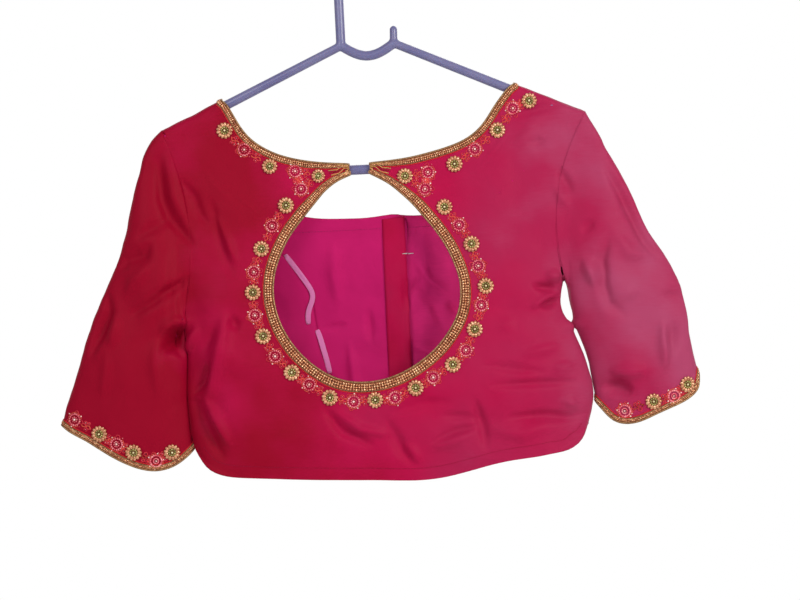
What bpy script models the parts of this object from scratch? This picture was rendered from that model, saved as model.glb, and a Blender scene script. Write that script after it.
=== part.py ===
"""A short lined choli blouse, open at the back in a keyhole, on a tubular plastic hanger.

The origin is the inner top of the hanger's hook, where a rail carries it.  x runs across the
blouse, y from its back (negative) to its front (positive), and z is up.  The shapes are worked
out in millimetres: "across" is x, "drop" is the distance below the rail and "depth" is y.
"""
import math

import bmesh
import bpy
from mathutils import Vector
from mathutils.bvhtree import BVHTree

MM = 0.001

# Hanger, one moulding of 10 mm tube.
TUBE_RADIUS = 5.0
HOOK_RADIUS = 26.5        # middle of the tube, round the rail
STEM_RADIUS = 4.9
STEM_BOTTOM = 93.0        # where the stem runs into the cradle
CRADLE_BOTTOM = 108.0     # lowest middle of the dip between the arms
JUNCTION_DROP = 96.7      # where each arm leaves the cradle
ARM_SLOPE = math.radians(24.5)
ARM_END = 190.0           # across, where the arm starts to turn down
BAR_DROP = 222.0          # middle of the straight bottom bar
HOOK_TIP_DROP = 38.0
NUB_RADIUS = 4.0
NUB_DROP = 82.0           # top of the short nub opposite the stem
NUB_LEAN = 0.5            # how far the nub's top leans out

# Cloth.
SHELL = 1.2               # outer cloth with its interlining
LINING = 1.0
SEAM_GAP = 0.3
SHOULDER_ROUND = 7.0      # radius of the cloth over the hanger's arm
SIDE_ROUND = 70.0         # how far in the sides round away from full depth
LAP_LIFT = 4.1            # the overlapping front stands this far off the other
LAP_KEPT = 22.0           # how far past the other's edge it keeps that lift
LAP_FADE = 40.0           # width over which the lift then fades away

NECK_LEFT, NECK_RIGHT = -150.0, 146.5           # across, inner ends of the shoulder seams
SHOULDER_LEFT, SHOULDER_RIGHT = -210.5, 214.5   # across, outer ends of the shoulder seams
ARMPIT_LEFT, ARMPIT_RIGHT = (-198.5, 368.0), (184.5, 344.0)
ARMHOLE_SCOOP = 18.0      # how far the armhole curves into the body
KEYHOLE_CENTRE = Vector((-12.5, 339.0))
UNDERLAP_EDGE, OVERLAP_EDGE = 28.5, 4.5         # across, free edges of the two fronts
FACING_WIDTH = 24.0
FRONT_HEM_LIFT = 5.0      # the front hem hangs this much higher than the back hem
HEM_LIFT_FADE = 40.0      # distance from the side seams over which it reaches that lift

# Depth of the cloth from the hanger's plane: drop, back, front.
FULLNESS = [(140, 7.3, 7.3), (195, 7.4, 7.6), (238, 7.9, 10.0), (290, 11.0, 19.0),
            (350, 17.0, 29.0), (410, 22.0, 33.0), (470, 24.0, 30.0), (540, 23.0, 27.0)]

# Cups shaped by the princess seams: across, drop, spread, extra depth.
CUPS = [(-66, 368, 46, 9.0), (98, 368, 46, 9.0)]

# Largest folds: face, from across and drop, to across and drop, half width, height.
FOLDS = [
    ("back", -142, 250, -150, 345, 16, 3.5),
    ("back", -176, 300, -150, 470, 13, 4.5),
    ("back", -193, 372, -128, 420, 12, 4.0),
    ("back", -150, 300, -196, 350, 11, -3.0),
    ("back", -232, 352, -205, 300, 12, 4.0),
    ("back", -262, 330, -222, 374, 11, -3.5),
    ("back", -214, 400, -220, 470, 12, 3.0),
    ("back", 150, 360, 178, 346, 10, 4.0),
    ("back", 118, 372, 176, 362, 9, -3.0),
    ("back", 112, 300, 122, 210, 18, 3.0),
    ("back", 60, 452, 196, 442, 9, 3.5),
    ("back", 40, 478, 204, 468, 9, -3.0),
    ("back", -120, 500, -40, 478, 12, 3.0),
    ("back", 40, 480, 90, 512, 10, 3.5),
    ("back", 236, 300, 226, 390, 14, 4.0),
    ("back", 262, 400, 290, 350, 13, -3.0),
    ("back", 232, 428, 296, 434, 12, 2.5),
    ("front", -150, 260, -160, 350, 16, 3.5),
    ("front", -190, 372, -110, 360, 12, 4.0),
    ("front", 150, 250, 165, 340, 16, 3.5),
    ("front", 176, 350, 120, 372, 12, 4.0),
    ("front", -140, 440, -30, 462, 11, 3.5),
    ("front", 60, 470, 170, 450, 11, 3.5),
    ("front", -230, 300, -216, 420, 13, 4.0),
    ("front", -268, 360, -236, 440, 12, -3.0),
    ("front", 250, 290, 226, 400, 13, 4.0),
]

# Outlines, as across and drop.
BACK_NECK_LEFT = [(-24.5, 216.5), (-51.5, 214), (-74.5, 210), (-96.5, 203), (-115.5, 192),
                  (-128.5, 179), (-137, 164), (-143.5, 152), (NECK_LEFT, None)]
BACK_NECK_RIGHT = [(-3.5, 216.5), (30.5, 214), (57.5, 209), (84.5, 201.5), (105.5, 190),
                   (118.5, 174), (128.5, 160), (139.5, 148), (NECK_RIGHT, None)]
FRONT_NECK_LEFT = [(NECK_LEFT, None), (-139, 190), (-123, 225), (-101, 252), (-70, 266),
                   (-30, 269.5), (UNDERLAP_EDGE, 269.5)]
FRONT_NECK_RIGHT = [(NECK_RIGHT, None), (136, 192), (122, 228), (100, 255), (72, 267),
                    (35, 269.5), (OVERLAP_EDGE, 269.5)]
SIDE_LEFT = [ARMPIT_LEFT, (-194, 396), (-196, 440), (-193.5, 490)]
SIDE_RIGHT = [ARMPIT_RIGHT, (181, 368), (191.5, 393), (202.5, 424), (209, 456), (203.5, 487)]
BACK_HEM = [(-193.5, 490), (-186, 503), (-169.5, 519), (-110.5, 526.5), (-20, 532),
            (46.5, 534), (112.5, 521), (157.5, 516), (190, 507), (203.5, 487)]
PRINCESS_LEFT = [(-150, 286), (-97, 303), (-73, 338), (-68, 375), (-61, 400), (-55.5, 424),
                 (-52, 480), (-50, None)]
PRINCESS_RIGHT = [(158, 282), (129, 303), (106, 338), (100, 375), (94, 400), (89, 424),
                  (85, 480), (83, None)]

# Keyhole: degrees anticlockwise from straight up, as seen from behind, and its radius.
KEYHOLE = [(4.8, 112.9), (10, 111), (20, 105), (30, 98), (40, 93.8), (50, 92.3), (65, 92.0),
           (80, 93.2), (95, 94.0), (120, 94.2), (140, 95.2), (162, 97.2), (180, 95.8),
           (200, 93.6), (215, 92.6), (235, 93.5), (252, 95.0), (270, 93.2), (285, 89.8),
           (303, 88.4), (318, 90.0), (330, 95.2), (340, 101.2), (350, 108.8), (354.8, 113.0)]

# Sleeves, outer edge from the shoulder and inner edge from the armpit.
OUTER_LEFT = [(SHOULDER_LEFT, None), (-223.5, 183), (-233.5, 204), (-237.5, 222),
              (-244.5, 245), (-260.5, 299), (-287.5, 354), (-308.5, 411), (-326.5, 463)]
INNER_LEFT = [(-200.5, 370), (-197.5, 396), (-198.4, 440), (-195.2, 491)]
OUTER_RIGHT = [(SHOULDER_RIGHT, None), (223.5, 188), (234.5, 213), (243.5, 231),
               (257.5, 258), (268.5, 290), (293.5, 333), (305.5, 367), (308.5, 400),
               (316.5, 442)]
INNER_RIGHT = [(190.5, 343), (190.5, 367), (196.5, 395), (204.7, 419), (211, 452), (212.5, 465)]
SLEEVE_DEPTH = [(0.0, 17.0), (0.3, 21.0), (0.7, 20.0), (1.0, 17.0)]   # along, half depth
SLEEVE_JOIN = 0.3         # share of its length over which its section leaves the armhole's
SLEEVE_FLATNESS = 0.42    # a section's power: 0.5 is an ellipse and less is boxier
SLEEVE_PITCH = 6.0        # the cuff hangs this much nearer the front
FACING_ROUNDS = 2         # times that a sleeve's outward directions are evened round it
UNDERARM_GAP = 1.6        # extra space between sleeve and body at the armpit
# How far the cuff dips below the straight line between its corners: share of the way from the
# outer corner, dip at the back, dip at the front.
CUFF_DIP_LEFT = [(0.0, 0.0, 0.0), (0.085, 5.6, 3.1), (0.245, 12.3, 7.4), (0.406, 21.0, 9.6),
                 (0.565, 27.5, 9.8), (0.697, 29.7, 8.4), (0.80, 27.5, 6.4), (0.90, 20.0, 3.6),
                 (0.96, 12.0, 1.5), (1.0, 0.0, 0.0)]
CUFF_DIP_RIGHT = [(0.0, 0.0, 0.0), (0.03, 9.0, 1.2), (0.068, 15.5, 2.5), (0.16, 21.5, 5.4),
                  (0.28, 24.6, 8.1), (0.463, 27.2, 9.9), (0.647, 30.6, 9.1), (0.77, 30.2, 7.1),
                  (0.877, 25.8, 4.3), (0.953, 16.0, 1.8), (1.0, 0.0, 0.0)]

# Beading and rosettes.
BEAD_HEIGHT = 1.8
BEAD_EDGE = 0.6           # height of the strip's edges, as a share of its middle
BEAD_SLOPE = 1.5          # width of the slope at each edge
KEYHOLE_BEAD_WIDTHS = (3.6, 0.11, 9.3)   # at a point, growth with the cloth's width, greatest
NECK_BEAD_WIDTHS = (2.8, 0.10, 6.0)
CUFF_BEAD_WIDTHS = (4.6, 0.0, 4.6)
ON_CLOTH = 0.5            # clearance under what is sewn on
ROSETTE_HEIGHT = 2.8
ROSETTE_POINTS = 10
ROSETTE_DIP = 0.88        # radius between two scallops, as a share of the full one
ROSETTE_RINGS = [         # share of the radius, height
    (1.0, ON_CLOTH), (1.0, ROSETTE_HEIGHT * 0.5), (0.6, ROSETTE_HEIGHT * 0.85)]
CUFF_ROSETTE_RADIUS = 7.8
CUFF_ROSETTE_INSET = 13.2    # from the cuff's edge to the rosette's middle
CUFF_ROSETTES_LEFT = [("back", 0.30), ("back", 0.59), ("back", 0.88),
                      ("front", 0.80), ("front", 0.50), ("front", 0.20)]
CUFF_ROSETTES_RIGHT = [("back", 0.17), ("back", 0.53), ("front", 0.84),
                       ("front", 0.61), ("front", 0.38), ("front", 0.15)]
BACK_ROSETTES = [            # across, drop, radius
    (-147.5, 176.5, 7.8), (-104.2, 214.6, 7.4), (-56, 226.6, 6.5), (-89.8, 254.6, 7.8),
    (-116.5, 296.8, 7.8), (-126.7, 339.9, 7.8), (-118.4, 383.9, 7.8), (-91.7, 421.2, 7.8),
    (-55, 448.1, 7.8), (-10.2, 452.6, 7.8), (30.4, 442.7, 7.8), (68.5, 421.4, 7.8),
    (92.2, 387.5, 7.8), (105.4, 345.1, 7.8), (93.5, 302.5, 7.8), (68.4, 264.1, 7.8),
    (30.5, 231, 7.6), (80.6, 221.7, 7.8), (125.2, 189.9, 7.8), (158.5, 162, 7.4)]

# Hooks that fasten the fronts: drop, and across of the bend.
HOOKS = [(308, UNDERLAP_EDGE), (350, 11), (392, 11), (440, 11), (484, 11)]
HOOK_WIRE = 0.45
HOOK_SHANK = 7.5          # how far the sewn shank reaches back from the bend
HOOK_BEAK = 4.0           # how far the beak reaches past the underlap's edge
HOOK_HIDDEN_TIP = 2.5     # how far a hidden hook's tip reaches
EDGE_CLEAR = 1.1          # from the underlap's edge to the middle of the wire

# Grid steps.
BACK_COLUMNS = [0.0, 1.5, 5.0, 12.0, 25.0]       # distances in from the outer edge
BACK_MIDDLE_COLUMNS, CENTRE_MIDDLE_COLUMNS, SIDE_MIDDLE_COLUMNS = 5, 4, 3
OPENING_COLUMNS = [0.0, FACING_WIDTH / 2, FACING_WIDTH]   # distances from the opening's edge
SIDE_COLUMNS = [0.0, 1.5, 6.0, 18.0]             # distances from the side seam
NARROW = 60.0                                    # columns close up in bands under this width

# Where the back's lines meet the keyhole: step of the outer edge, and degrees round the keyhole
# (None straight in). Steps between are spread out, so no lines cross near the shoulders' corners.
LEFT_TURNS = [(2, None), (8, 41.0), (11, 47.0), (22, None)]
RIGHT_TURNS = [(62, None), (77, 308.0), (80, 318.0), (85, None)]
NECK_LEAD = 58.0                                 # reach of the bow by which a line leaves the neck
LEAD_SHARE = 0.4                                 # most of a line's length that the bow reaches
LEAD_FADE = 25.0                                 # distance past the neck over which bows fade
BOW_STEPS = 32

SHOULDER_ROWS = [1.5, 5.0, 12.0]                 # distances below the shoulder seam
ARMHOLE_SHARES = [0.0, 0.009, 0.03, 0.068, 0.14, 0.25, 0.38, 0.52, 0.66, 0.79, 0.90, 0.97, 1.0]
ARMHOLE_STEPS = len(ARMHOLE_SHARES) - 1
SIDE_STEPS = 8
NECK_STEPS = 11
BACK_NECK_LENGTH, FRONT_NECK_LENGTH = 165.0, 300.0
SHOULDER_STEPS = 4
HEM_STEPS = 18
OPENING_STEPS = ARMHOLE_STEPS + SIDE_STEPS - NECK_STEPS
PRINCESS_START = 7        # armhole step where the princess seam begins
LINING_START = 5          # first row of the centre linings, below the hanger's bar
SLEEVE_STEPS = 12
BEADED_STEPS = 4          # last steps of the sleeve, which carry the cuff's beading

for old in list(bpy.data.objects):
    bpy.data.objects.remove(old, do_unlink=True)


def material(name, colour, roughness, metallic=0.0):
    made = bpy.data.materials.new(name)
    made.use_nodes = True
    shader = made.node_tree.nodes["Principled BSDF"]
    shader.inputs["Base Color"].default_value = (*colour, 1.0)
    shader.inputs["Roughness"].default_value = roughness
    shader.inputs["Metallic"].default_value = metallic
    return made


CRIMSON = material("crimson silk", (0.42, 0.012, 0.055), 0.55)
MAGENTA = material("magenta lining", (0.40, 0.012, 0.13), 0.6)
GOLD = material("antique gold beads", (0.42, 0.26, 0.09), 0.4, 0.6)
PLASTIC = material("periwinkle plastic", (0.21, 0.19, 0.42), 0.35)
STEEL = material("hook wire", (0.55, 0.55, 0.57), 0.3, 1.0)


# ---------------------------------------------------------------- curves and surfaces

def arm_drop(across):
    """Drop of the middle of the hanger's arm."""
    return JUNCTION_DROP + (abs(across) - HOOK_RADIUS) * math.tan(ARM_SLOPE)


def shoulder_drop(across):
    """Drop of the shoulder seam, which lies along the arm."""
    return arm_drop(across) - SHOULDER_ROUND / math.cos(ARM_SLOPE)


def hem_drop(across):
    """Drop of the front's hem, a little above the back's hem except at the side seams."""
    for (left, high), (right, low) in zip(BACK_HEM, BACK_HEM[1:]):
        if left <= across <= right:
            inside = min(across - BACK_HEM[0][0], BACK_HEM[-1][0] - across)
            lift = FRONT_HEM_LIFT * min(1.0, inside / HEM_LIFT_FADE)
            return high + (low - high) * (across - left) / (right - left) - lift
    return BACK_HEM[-1][1]


def curved(points, values):
    """Catmull-Rom curve through the points, at values that count from 0 at the first."""
    result = []
    for value in values:
        index = min(int(value), len(points) - 2)
        q = value - index
        start, end = points[index], points[index + 1]
        before = points[index - 1] if index > 0 else start * 2 - end
        after = points[index + 2] if index + 2 < len(points) else end * 2 - start
        result.append((start * 2 + (end - before) * q
                       + (before * 2 - start * 5 + end * 4 - after) * q * q
                       + (start * 3 - before - end * 3 + after) * q * q * q) * 0.5)
    return result


def path(rows, fractions, last_drop=shoulder_drop):
    """Points at fractions of the length of the smooth curve through rows of across and drop.

    A row whose drop is None lies on the shoulder seam or on another line given as last_drop.
    """
    points = [Vector((across, last_drop(across) if drop is None else drop))
              for across, drop in rows]
    fine = curved(points, [i / 16 for i in range(16 * (len(points) - 1) + 1)])
    lengths = [0.0]
    for start, end in zip(fine, fine[1:]):
        lengths.append(lengths[-1] + (end - start).length)
    result = []
    for fraction in fractions:
        wanted = fraction * lengths[-1]
        index = max(i for i, length in enumerate(lengths[:-1]) if length <= wanted + 1e-9)
        share = (wanted - lengths[index]) / (lengths[index + 1] - lengths[index])
        result.append(fine[index].lerp(fine[index + 1], share))
    return result


def even(steps):
    return [i / steps for i in range(steps + 1)]


def neck_shares(length):
    """Fractions along a neck edge from its shoulder, close where it curls over the arm."""
    near = [0.0] + [distance / length for distance in SHOULDER_ROWS]
    rest = NECK_STEPS - len(SHOULDER_ROWS)
    return near + [near[-1] + (1 - near[-1]) * i / rest for i in range(1, rest + 1)]


def look_up(rows, value, column=1):
    """Smooth reading of a column of a table whose first column rises."""
    if value <= rows[0][0]:
        return rows[0][column]
    if value >= rows[-1][0]:
        return rows[-1][column]
    index = max(i for i, row in enumerate(rows[:-1]) if row[0] <= value)
    low, high = rows[index], rows[index + 1]
    heights = [Vector((row[column], 0)) for row in rows]
    return curved(heights, [index + (value - low[0]) / (high[0] - low[0])])[0].x


SEAM_SIDE_LEFT = path(SIDE_LEFT, even(SIDE_STEPS))
SEAM_SIDE_RIGHT = path(SIDE_RIGHT, even(SIDE_STEPS))


def side_distance(seam, outward, across, drop):
    """Distance inside a side seam; above the armpit it is the distance from the armpit."""
    spot = Vector((across, drop))
    best = None
    for start, end in zip(seam, seam[1:]):
        run = end - start
        share = max(0.0, min(1.0, (spot - start).dot(run) / run.length_squared))
        nearest = start + run * share
        away = spot - nearest
        if best is None or away.length < best.length:
            best = away
    beside_seam = seam[0].y - 0.5 <= drop <= seam[-1].y + 0.5
    return -best.length if beside_seam and best.x * outward > 0 else best.length


def rounding(share):
    """Squared profile of a rounded edge: 0 at the edge and 1 from a full share inwards."""
    return 1.0 - (1.0 - min(share, 1.0)) ** 2


def fold_height(across, drop, face):
    """Outward height of the largest folds at a place on one face."""
    height = 0.0
    spot = Vector((across, drop))
    for row_face, across_0, drop_0, across_1, drop_1, half_width, crest in FOLDS:
        if row_face != face:
            continue
        start, end = Vector((across_0, drop_0)), Vector((across_1, drop_1))
        run = end - start
        along = (spot - start).dot(run) / run.length_squared
        middle = max(0.0, min(1.0, along))
        away = (spot - start - run * middle).length
        height += crest * math.exp(-(away / half_width) ** 2)
    return height


def depth_squared(across, drop, face):
    """Square of the body's depth, which stays smooth where back and front meet."""
    side = min(side_distance(SEAM_SIDE_LEFT, -1, across, drop),
               side_distance(SEAM_SIDE_RIGHT, 1, across, drop))
    below = (drop - shoulder_drop(across)) * math.cos(ARM_SLOPE)
    full = look_up(FULLNESS, drop, 1 if face == "back" else 2)
    full += fold_height(across, drop, face)
    if face == "front":
        for cup_across, cup_drop, spread, extra in CUPS:
            away = math.hypot(across - cup_across, drop - cup_drop)
            full += extra * math.exp(-(away / spread) ** 2)
    return full * full * rounding(side / SIDE_ROUND) * rounding(below / SHOULDER_ROUND)


def lap(across):
    """How far the overlapping front stands off the body's depth."""
    share = (across - UNDERLAP_EDGE - LAP_KEPT) / LAP_FADE
    share = max(0.0, min(1.0, share))
    return LAP_LIFT * (1.0 - share * share * (3.0 - 2.0 * share))


def body_point(across, drop, face, overlap=False):
    """Outer point of the body and the direction that faces out of the cloth there."""
    side = -1.0 if face == "back" else 1.0
    depth = math.sqrt(max(0.0, depth_squared(across, drop, face)))
    step = 0.4
    slope_across = (depth_squared(across + step, drop, face)
                    - depth_squared(across - step, drop, face)) / (2 * step)
    slope_drop = (depth_squared(across, drop + step, face)
                  - depth_squared(across, drop - step, face)) / (2 * step)
    outward = Vector((-slope_across, 2 * side * depth, slope_drop)).normalized()
    if overlap:
        depth += lap(across)
    depth = max(depth, SEAM_GAP / 2)
    return Vector((across, side * depth, -drop)), outward


def lay(flat_grid, face, overlap=False):
    """Turns rows of across and drop into rows of point and outward direction."""
    return [[body_point(spot.x, spot.y, face, overlap) for spot in row] for row in flat_grid]


def beside(line, distance):
    """The same line moved sideways, across the way that it runs."""
    moved = []
    for i, spot in enumerate(line):
        run = line[min(i + 1, len(line) - 1)] - line[max(i - 1, 0)]
        moved.append(spot + Vector((run.y, -run.x)).normalized() * distance)
    return moved


def panel(inner, outer, from_inner, middle_columns, from_outer):
    """Flat grid of a front panel, a row for each pair of points on its two long edges.

    Columns near the edges lie at given distances from them, and the rows bow towards the
    hem's curve as they near it.
    """
    rows = len(inner) - 1
    grid = []
    for i in range(rows + 1):
        length = (outer[i] - inner[i]).length
        shrink = min(1.0, length / NARROW)
        start = from_inner[-1] * shrink
        stop = length - from_outer[-1] * shrink
        middle = [start + (stop - start) * j / middle_columns for j in range(1, middle_columns)]
        placed = ([distance * shrink for distance in from_inner] + middle
                  + [length - distance * shrink for distance in reversed(from_outer)])
        shares = [distance / max(length, 1e-6) for distance in placed]
        row = []
        for share in shares:
            spot = inner[i].lerp(outer[i], share)
            bottom = inner[-1].lerp(outer[-1], share)
            spot.y += (hem_drop(bottom.x) - bottom.y) * (i / rows) ** 4
            row.append(spot)
        grid.append(row)
    return grid


# ---------------------------------------------------------------- solids

def add_object(name, mesh_source, finish):
    """Object from a bmesh in millimetres."""
    bmesh.ops.scale(mesh_source, vec=(MM, MM, MM), verts=mesh_source.verts)
    mesh = bpy.data.meshes.new(name)
    mesh_source.to_mesh(mesh)
    mesh_source.free()
    mesh.materials.append(finish)
    mesh.shade_smooth()
    mesh.set_sharp_from_angle(angle=math.radians(50))
    made = bpy.data.objects.new(name, mesh)
    bpy.context.scene.collection.objects.link(made)
    return made


def wall(name, grid, finish, start, thickness, closed=False):
    """Closed wall from a grid of points and outward directions.

    Its outer face lies start below the grid and its inner face a thickness further in.
    A closed grid joins its last column to its first.
    """
    solid = bmesh.new()
    outer = [[solid.verts.new(p - n * start) for p, n in row] for row in grid]
    inner = [[solid.verts.new(p - n * (start + thickness)) for p, n in row] for row in grid]
    rows, columns = len(grid), len(grid[0])
    across = range(columns if closed else columns - 1)
    for i in range(rows - 1):
        for j in across:
            k = (j + 1) % columns
            for skin in (outer, inner):
                low, side, far, up = skin[i][j], skin[i][k], skin[i + 1][k], skin[i + 1][j]
                solid.faces.new([low, side, far])
                solid.faces.new([low, far, up])
    for i in (0, rows - 1):
        for j in across:
            k = (j + 1) % columns
            solid.faces.new([outer[i][j], outer[i][k], inner[i][k], inner[i][j]])
    if not closed:
        for j in (0, columns - 1):
            for i in range(rows - 1):
                solid.faces.new([outer[i][j], outer[i + 1][j], inner[i + 1][j], inner[i][j]])
    bmesh.ops.remove_doubles(solid, verts=solid.verts, dist=1e-4)
    bmesh.ops.recalc_face_normals(solid, faces=solid.faces)
    return add_object(name, solid, finish)


def walk(line, distance):
    """Point and direction at a distance along a row of points and directions."""
    for (start, start_out), (end, end_out) in zip(line, line[1:]):
        run = (end - start).length
        if distance <= run:
            return start.lerp(end, distance / run), start_out.lerp(end_out, distance / run)
        distance -= run
    return line[-1]


def beading(name, lines, widths, closed=False):
    """Domed strip of packed beads along the first points of lines that lead in from an edge."""
    solid = bmesh.new()
    profiles = []
    least, growth, greatest = widths
    for line in lines:
        band = sum((end[0] - start[0]).length for start, end in zip(line, line[1:]))
        width = min(least + growth * band, greatest)
        slope = min(BEAD_SLOPE, width / 4)
        row = [walk(line, distance) for distance in (0.0, slope, width - slope, width)]
        lifts = (BEAD_HEIGHT * BEAD_EDGE, BEAD_HEIGHT, BEAD_HEIGHT, BEAD_HEIGHT * BEAD_EDGE)
        top = [solid.verts.new(p + n * (ON_CLOTH + lift)) for (p, n), lift in zip(row, lifts)]
        base = [solid.verts.new(p + n * ON_CLOTH) for p, n in row]
        profiles.append((top, base))
    count = len(profiles)
    for i in range(count if closed else count - 1):
        here, there = profiles[i], profiles[(i + 1) % count]
        for near, far in zip(here, there):
            for j in range(len(near) - 1):
                solid.faces.new([near[j], near[j + 1], far[j + 1]])
                solid.faces.new([near[j], far[j + 1], far[j]])
        for j in (0, -1):
            solid.faces.new([here[0][j], here[1][j], there[1][j]])
            solid.faces.new([here[0][j], there[1][j], there[0][j]])
    if not closed:
        for top, base in (profiles[0], profiles[-1]):
            for j in range(len(top) - 1):
                solid.faces.new([top[j], top[j + 1], base[j + 1]])
                solid.faces.new([top[j], base[j + 1], base[j]])
    bmesh.ops.recalc_face_normals(solid, faces=solid.faces)
    return add_object(name, solid, GOLD)


def outer_skin(grid, closed=False):
    """Search tree of a grid's outer face, for placing what is sewn on it."""
    columns = len(grid[0])
    points = [p for row in grid for p, _ in row]
    faces = []
    for i in range(len(grid) - 1):
        for j in range(columns if closed else columns - 1):
            k = (j + 1) % columns
            faces.append((i * columns + j, i * columns + k,
                          (i + 1) * columns + k, (i + 1) * columns + j))
    return BVHTree.FromPolygons(points, faces)


def rosette(name, skin, near, outward, full_radius):
    """Scalloped disc of packed beads, domed in the middle, on a search tree's surface."""
    middle, facing, _, _ = skin.find_nearest(near)
    if facing.dot(outward) < 0:
        facing = -facing
    across = facing.cross(Vector((0, 0, 1))).normalized()
    up = across.cross(facing)
    solid = bmesh.new()
    loops = []
    for share, lift in ROSETTE_RINGS:
        loop = []
        for i in range(ROSETTE_POINTS):
            angle = i * 2 * math.pi / ROSETTE_POINTS
            radius = full_radius * share * (1.0 if i % 2 else ROSETTE_DIP)
            aside = (across * math.cos(angle) + up * math.sin(angle)) * radius
            hit = skin.ray_cast(middle + aside + facing * full_radius, -facing)[0]
            loop.append(solid.verts.new((hit or middle + aside) + facing * lift))
        loops.append(loop)
    base_middle = solid.verts.new(middle + facing * ON_CLOTH)
    top_middle = solid.verts.new(middle + facing * ROSETTE_HEIGHT)
    for i in range(ROSETTE_POINTS):
        k = (i + 1) % ROSETTE_POINTS
        solid.faces.new([base_middle, loops[0][k], loops[0][i]])
        for low, high in zip(loops, loops[1:]):
            solid.faces.new([low[i], low[k], high[k], high[i]])
        solid.faces.new([loops[-1][i], loops[-1][k], top_middle])
    bmesh.ops.recalc_face_normals(solid, faces=solid.faces)
    return add_object(name, solid, GOLD)


def tube(name, points, radius, finish, bevels, closed=False):
    """Round bar along points in millimetres, as a mesh with closed ends."""
    curve = bpy.data.curves.new(name, "CURVE")
    curve.dimensions = "3D"
    curve.bevel_depth = radius * MM
    curve.bevel_resolution = bevels
    curve.use_fill_caps = True
    curve.resolution_u = 1
    curve.render_resolution_u = 0
    line = curve.splines.new("POLY")
    line.points.add(len(points) - 1)
    for spot, place in zip(line.points, points):
        spot.co = (*(place * MM), 1.0)
    line.use_cyclic_u = closed
    guide = bpy.data.objects.new(name, curve)
    bpy.context.scene.collection.objects.link(guide)
    bpy.context.view_layer.update()
    bar = bmesh.new()
    bar.from_mesh(bpy.data.meshes.new_from_object(guide))
    bpy.data.objects.remove(guide, do_unlink=True)
    bmesh.ops.remove_doubles(bar, verts=bar.verts, dist=1e-6)
    bmesh.ops.scale(bar, vec=(1 / MM, 1 / MM, 1 / MM), verts=bar.verts)
    return add_object(name, bar, finish)


# ---------------------------------------------------------------- hanger

def arc(centre_across, centre_drop, radius, start, end, steps):
    """Points round an arc in the hanger's plane; degrees run clockwise from straight up."""
    result = []
    for i in range(steps + 1):
        angle = math.radians(start + (end - start) * i / steps)
        result.append(Vector((centre_across + radius * math.sin(angle), 0,
                              -centre_drop + radius * math.cos(angle))))
    return result


def hanger():
    """Triangle of tube with a dip in its top, a stem that bends into the hook, and a nub."""
    corner = (BAR_DROP - arm_drop(ARM_END)) / (1 + math.cos(ARM_SLOPE))
    corner_across = ARM_END - corner * math.sin(ARM_SLOPE)
    slope = math.degrees(ARM_SLOPE)
    dip = CRADLE_BOTTOM - JUNCTION_DROP
    cradle = [Vector((HOOK_RADIUS * share, 0, -JUNCTION_DROP - dip * math.cos(share * math.pi / 2)))
              for share in [i / 5 for i in range(-5, 6)]]
    right = arc(corner_across, BAR_DROP - corner, corner, slope, 180, 9)
    left = [Vector((-p.x, 0, p.z)) for p in reversed(right)]
    right_arm = [cradle[-1].lerp(right[0], i / 4) for i in range(1, 4)]
    left_arm = [left[-1].lerp(cradle[0], i / 4) for i in range(1, 4)]
    frame = tube("hanger", cradle + right_arm + right + left + left_arm, TUBE_RADIUS,
                 PLASTIC, 3, closed=True)
    stem = [Vector((-HOOK_RADIUS, 0, -STEM_BOTTOM))]
    hook_bend = arc(0, HOOK_RADIUS - TUBE_RADIUS, HOOK_RADIUS, -90, 90, 12)
    tip = [Vector((HOOK_RADIUS, 0, -HOOK_TIP_DROP))]
    nub = [Vector((HOOK_RADIUS, 0, -JUNCTION_DROP)),
           Vector((HOOK_RADIUS + NUB_LEAN, 0, -NUB_DROP))]
    parts = [tube("stem and hook", stem + hook_bend + tip, STEM_RADIUS, PLASTIC, 3),
             tube("nub", nub, NUB_RADIUS, PLASTIC, 3)]
    for part in parts:
        part.hide_render = True
        part.display_type = "WIRE"
        joined = frame.modifiers.new(part.name, "BOOLEAN")
        joined.operation = "UNION"
        joined.object = part


hanger()


# ---------------------------------------------------------------- back

def chord_point(top, bottom, share, dip, outward):
    """Point between two edges, moved by the dip square to their chord, towards the cuff."""
    chord = (bottom - top).normalized()
    square = Vector((-chord.y, chord.x)) * -outward
    return top.lerp(bottom, share) + square * dip


def armhole(shoulder_across, armpit, outward):
    top = Vector((shoulder_across, shoulder_drop(shoulder_across)))
    return [chord_point(top, Vector(armpit), share, -ARMHOLE_SCOOP * 4 * share * (1 - share),
                        outward)
            for share in ARMHOLE_SHARES]


def shoulder(inner, outer):
    return [Vector((x, shoulder_drop(x)))
            for x in [inner + (outer - inner) * share for share in even(SHOULDER_STEPS)]]


ARMHOLE_LEFT = armhole(SHOULDER_LEFT, ARMPIT_LEFT, -1)
ARMHOLE_RIGHT = armhole(SHOULDER_RIGHT, ARMPIT_RIGHT, 1)


def back_outline():
    """Outer edge of the back from the left tip round to the right tip, and its stretches."""
    stretches = [
        path(BACK_NECK_LEFT[::-1], neck_shares(BACK_NECK_LENGTH))[::-1],
        shoulder(NECK_LEFT, SHOULDER_LEFT),
        ARMHOLE_LEFT,
        SEAM_SIDE_LEFT,
        path(BACK_HEM, even(HEM_STEPS)),
        SEAM_SIDE_RIGHT[::-1],
        ARMHOLE_RIGHT[::-1],
        shoulder(SHOULDER_RIGHT, NECK_RIGHT),
        path(BACK_NECK_RIGHT[::-1], neck_shares(BACK_NECK_LENGTH))]
    outline = [stretches[0][0]]
    for stretch in stretches:
        outline += stretch[1:]
    return outline, len(stretches[0]), len(stretches[-1])


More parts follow.
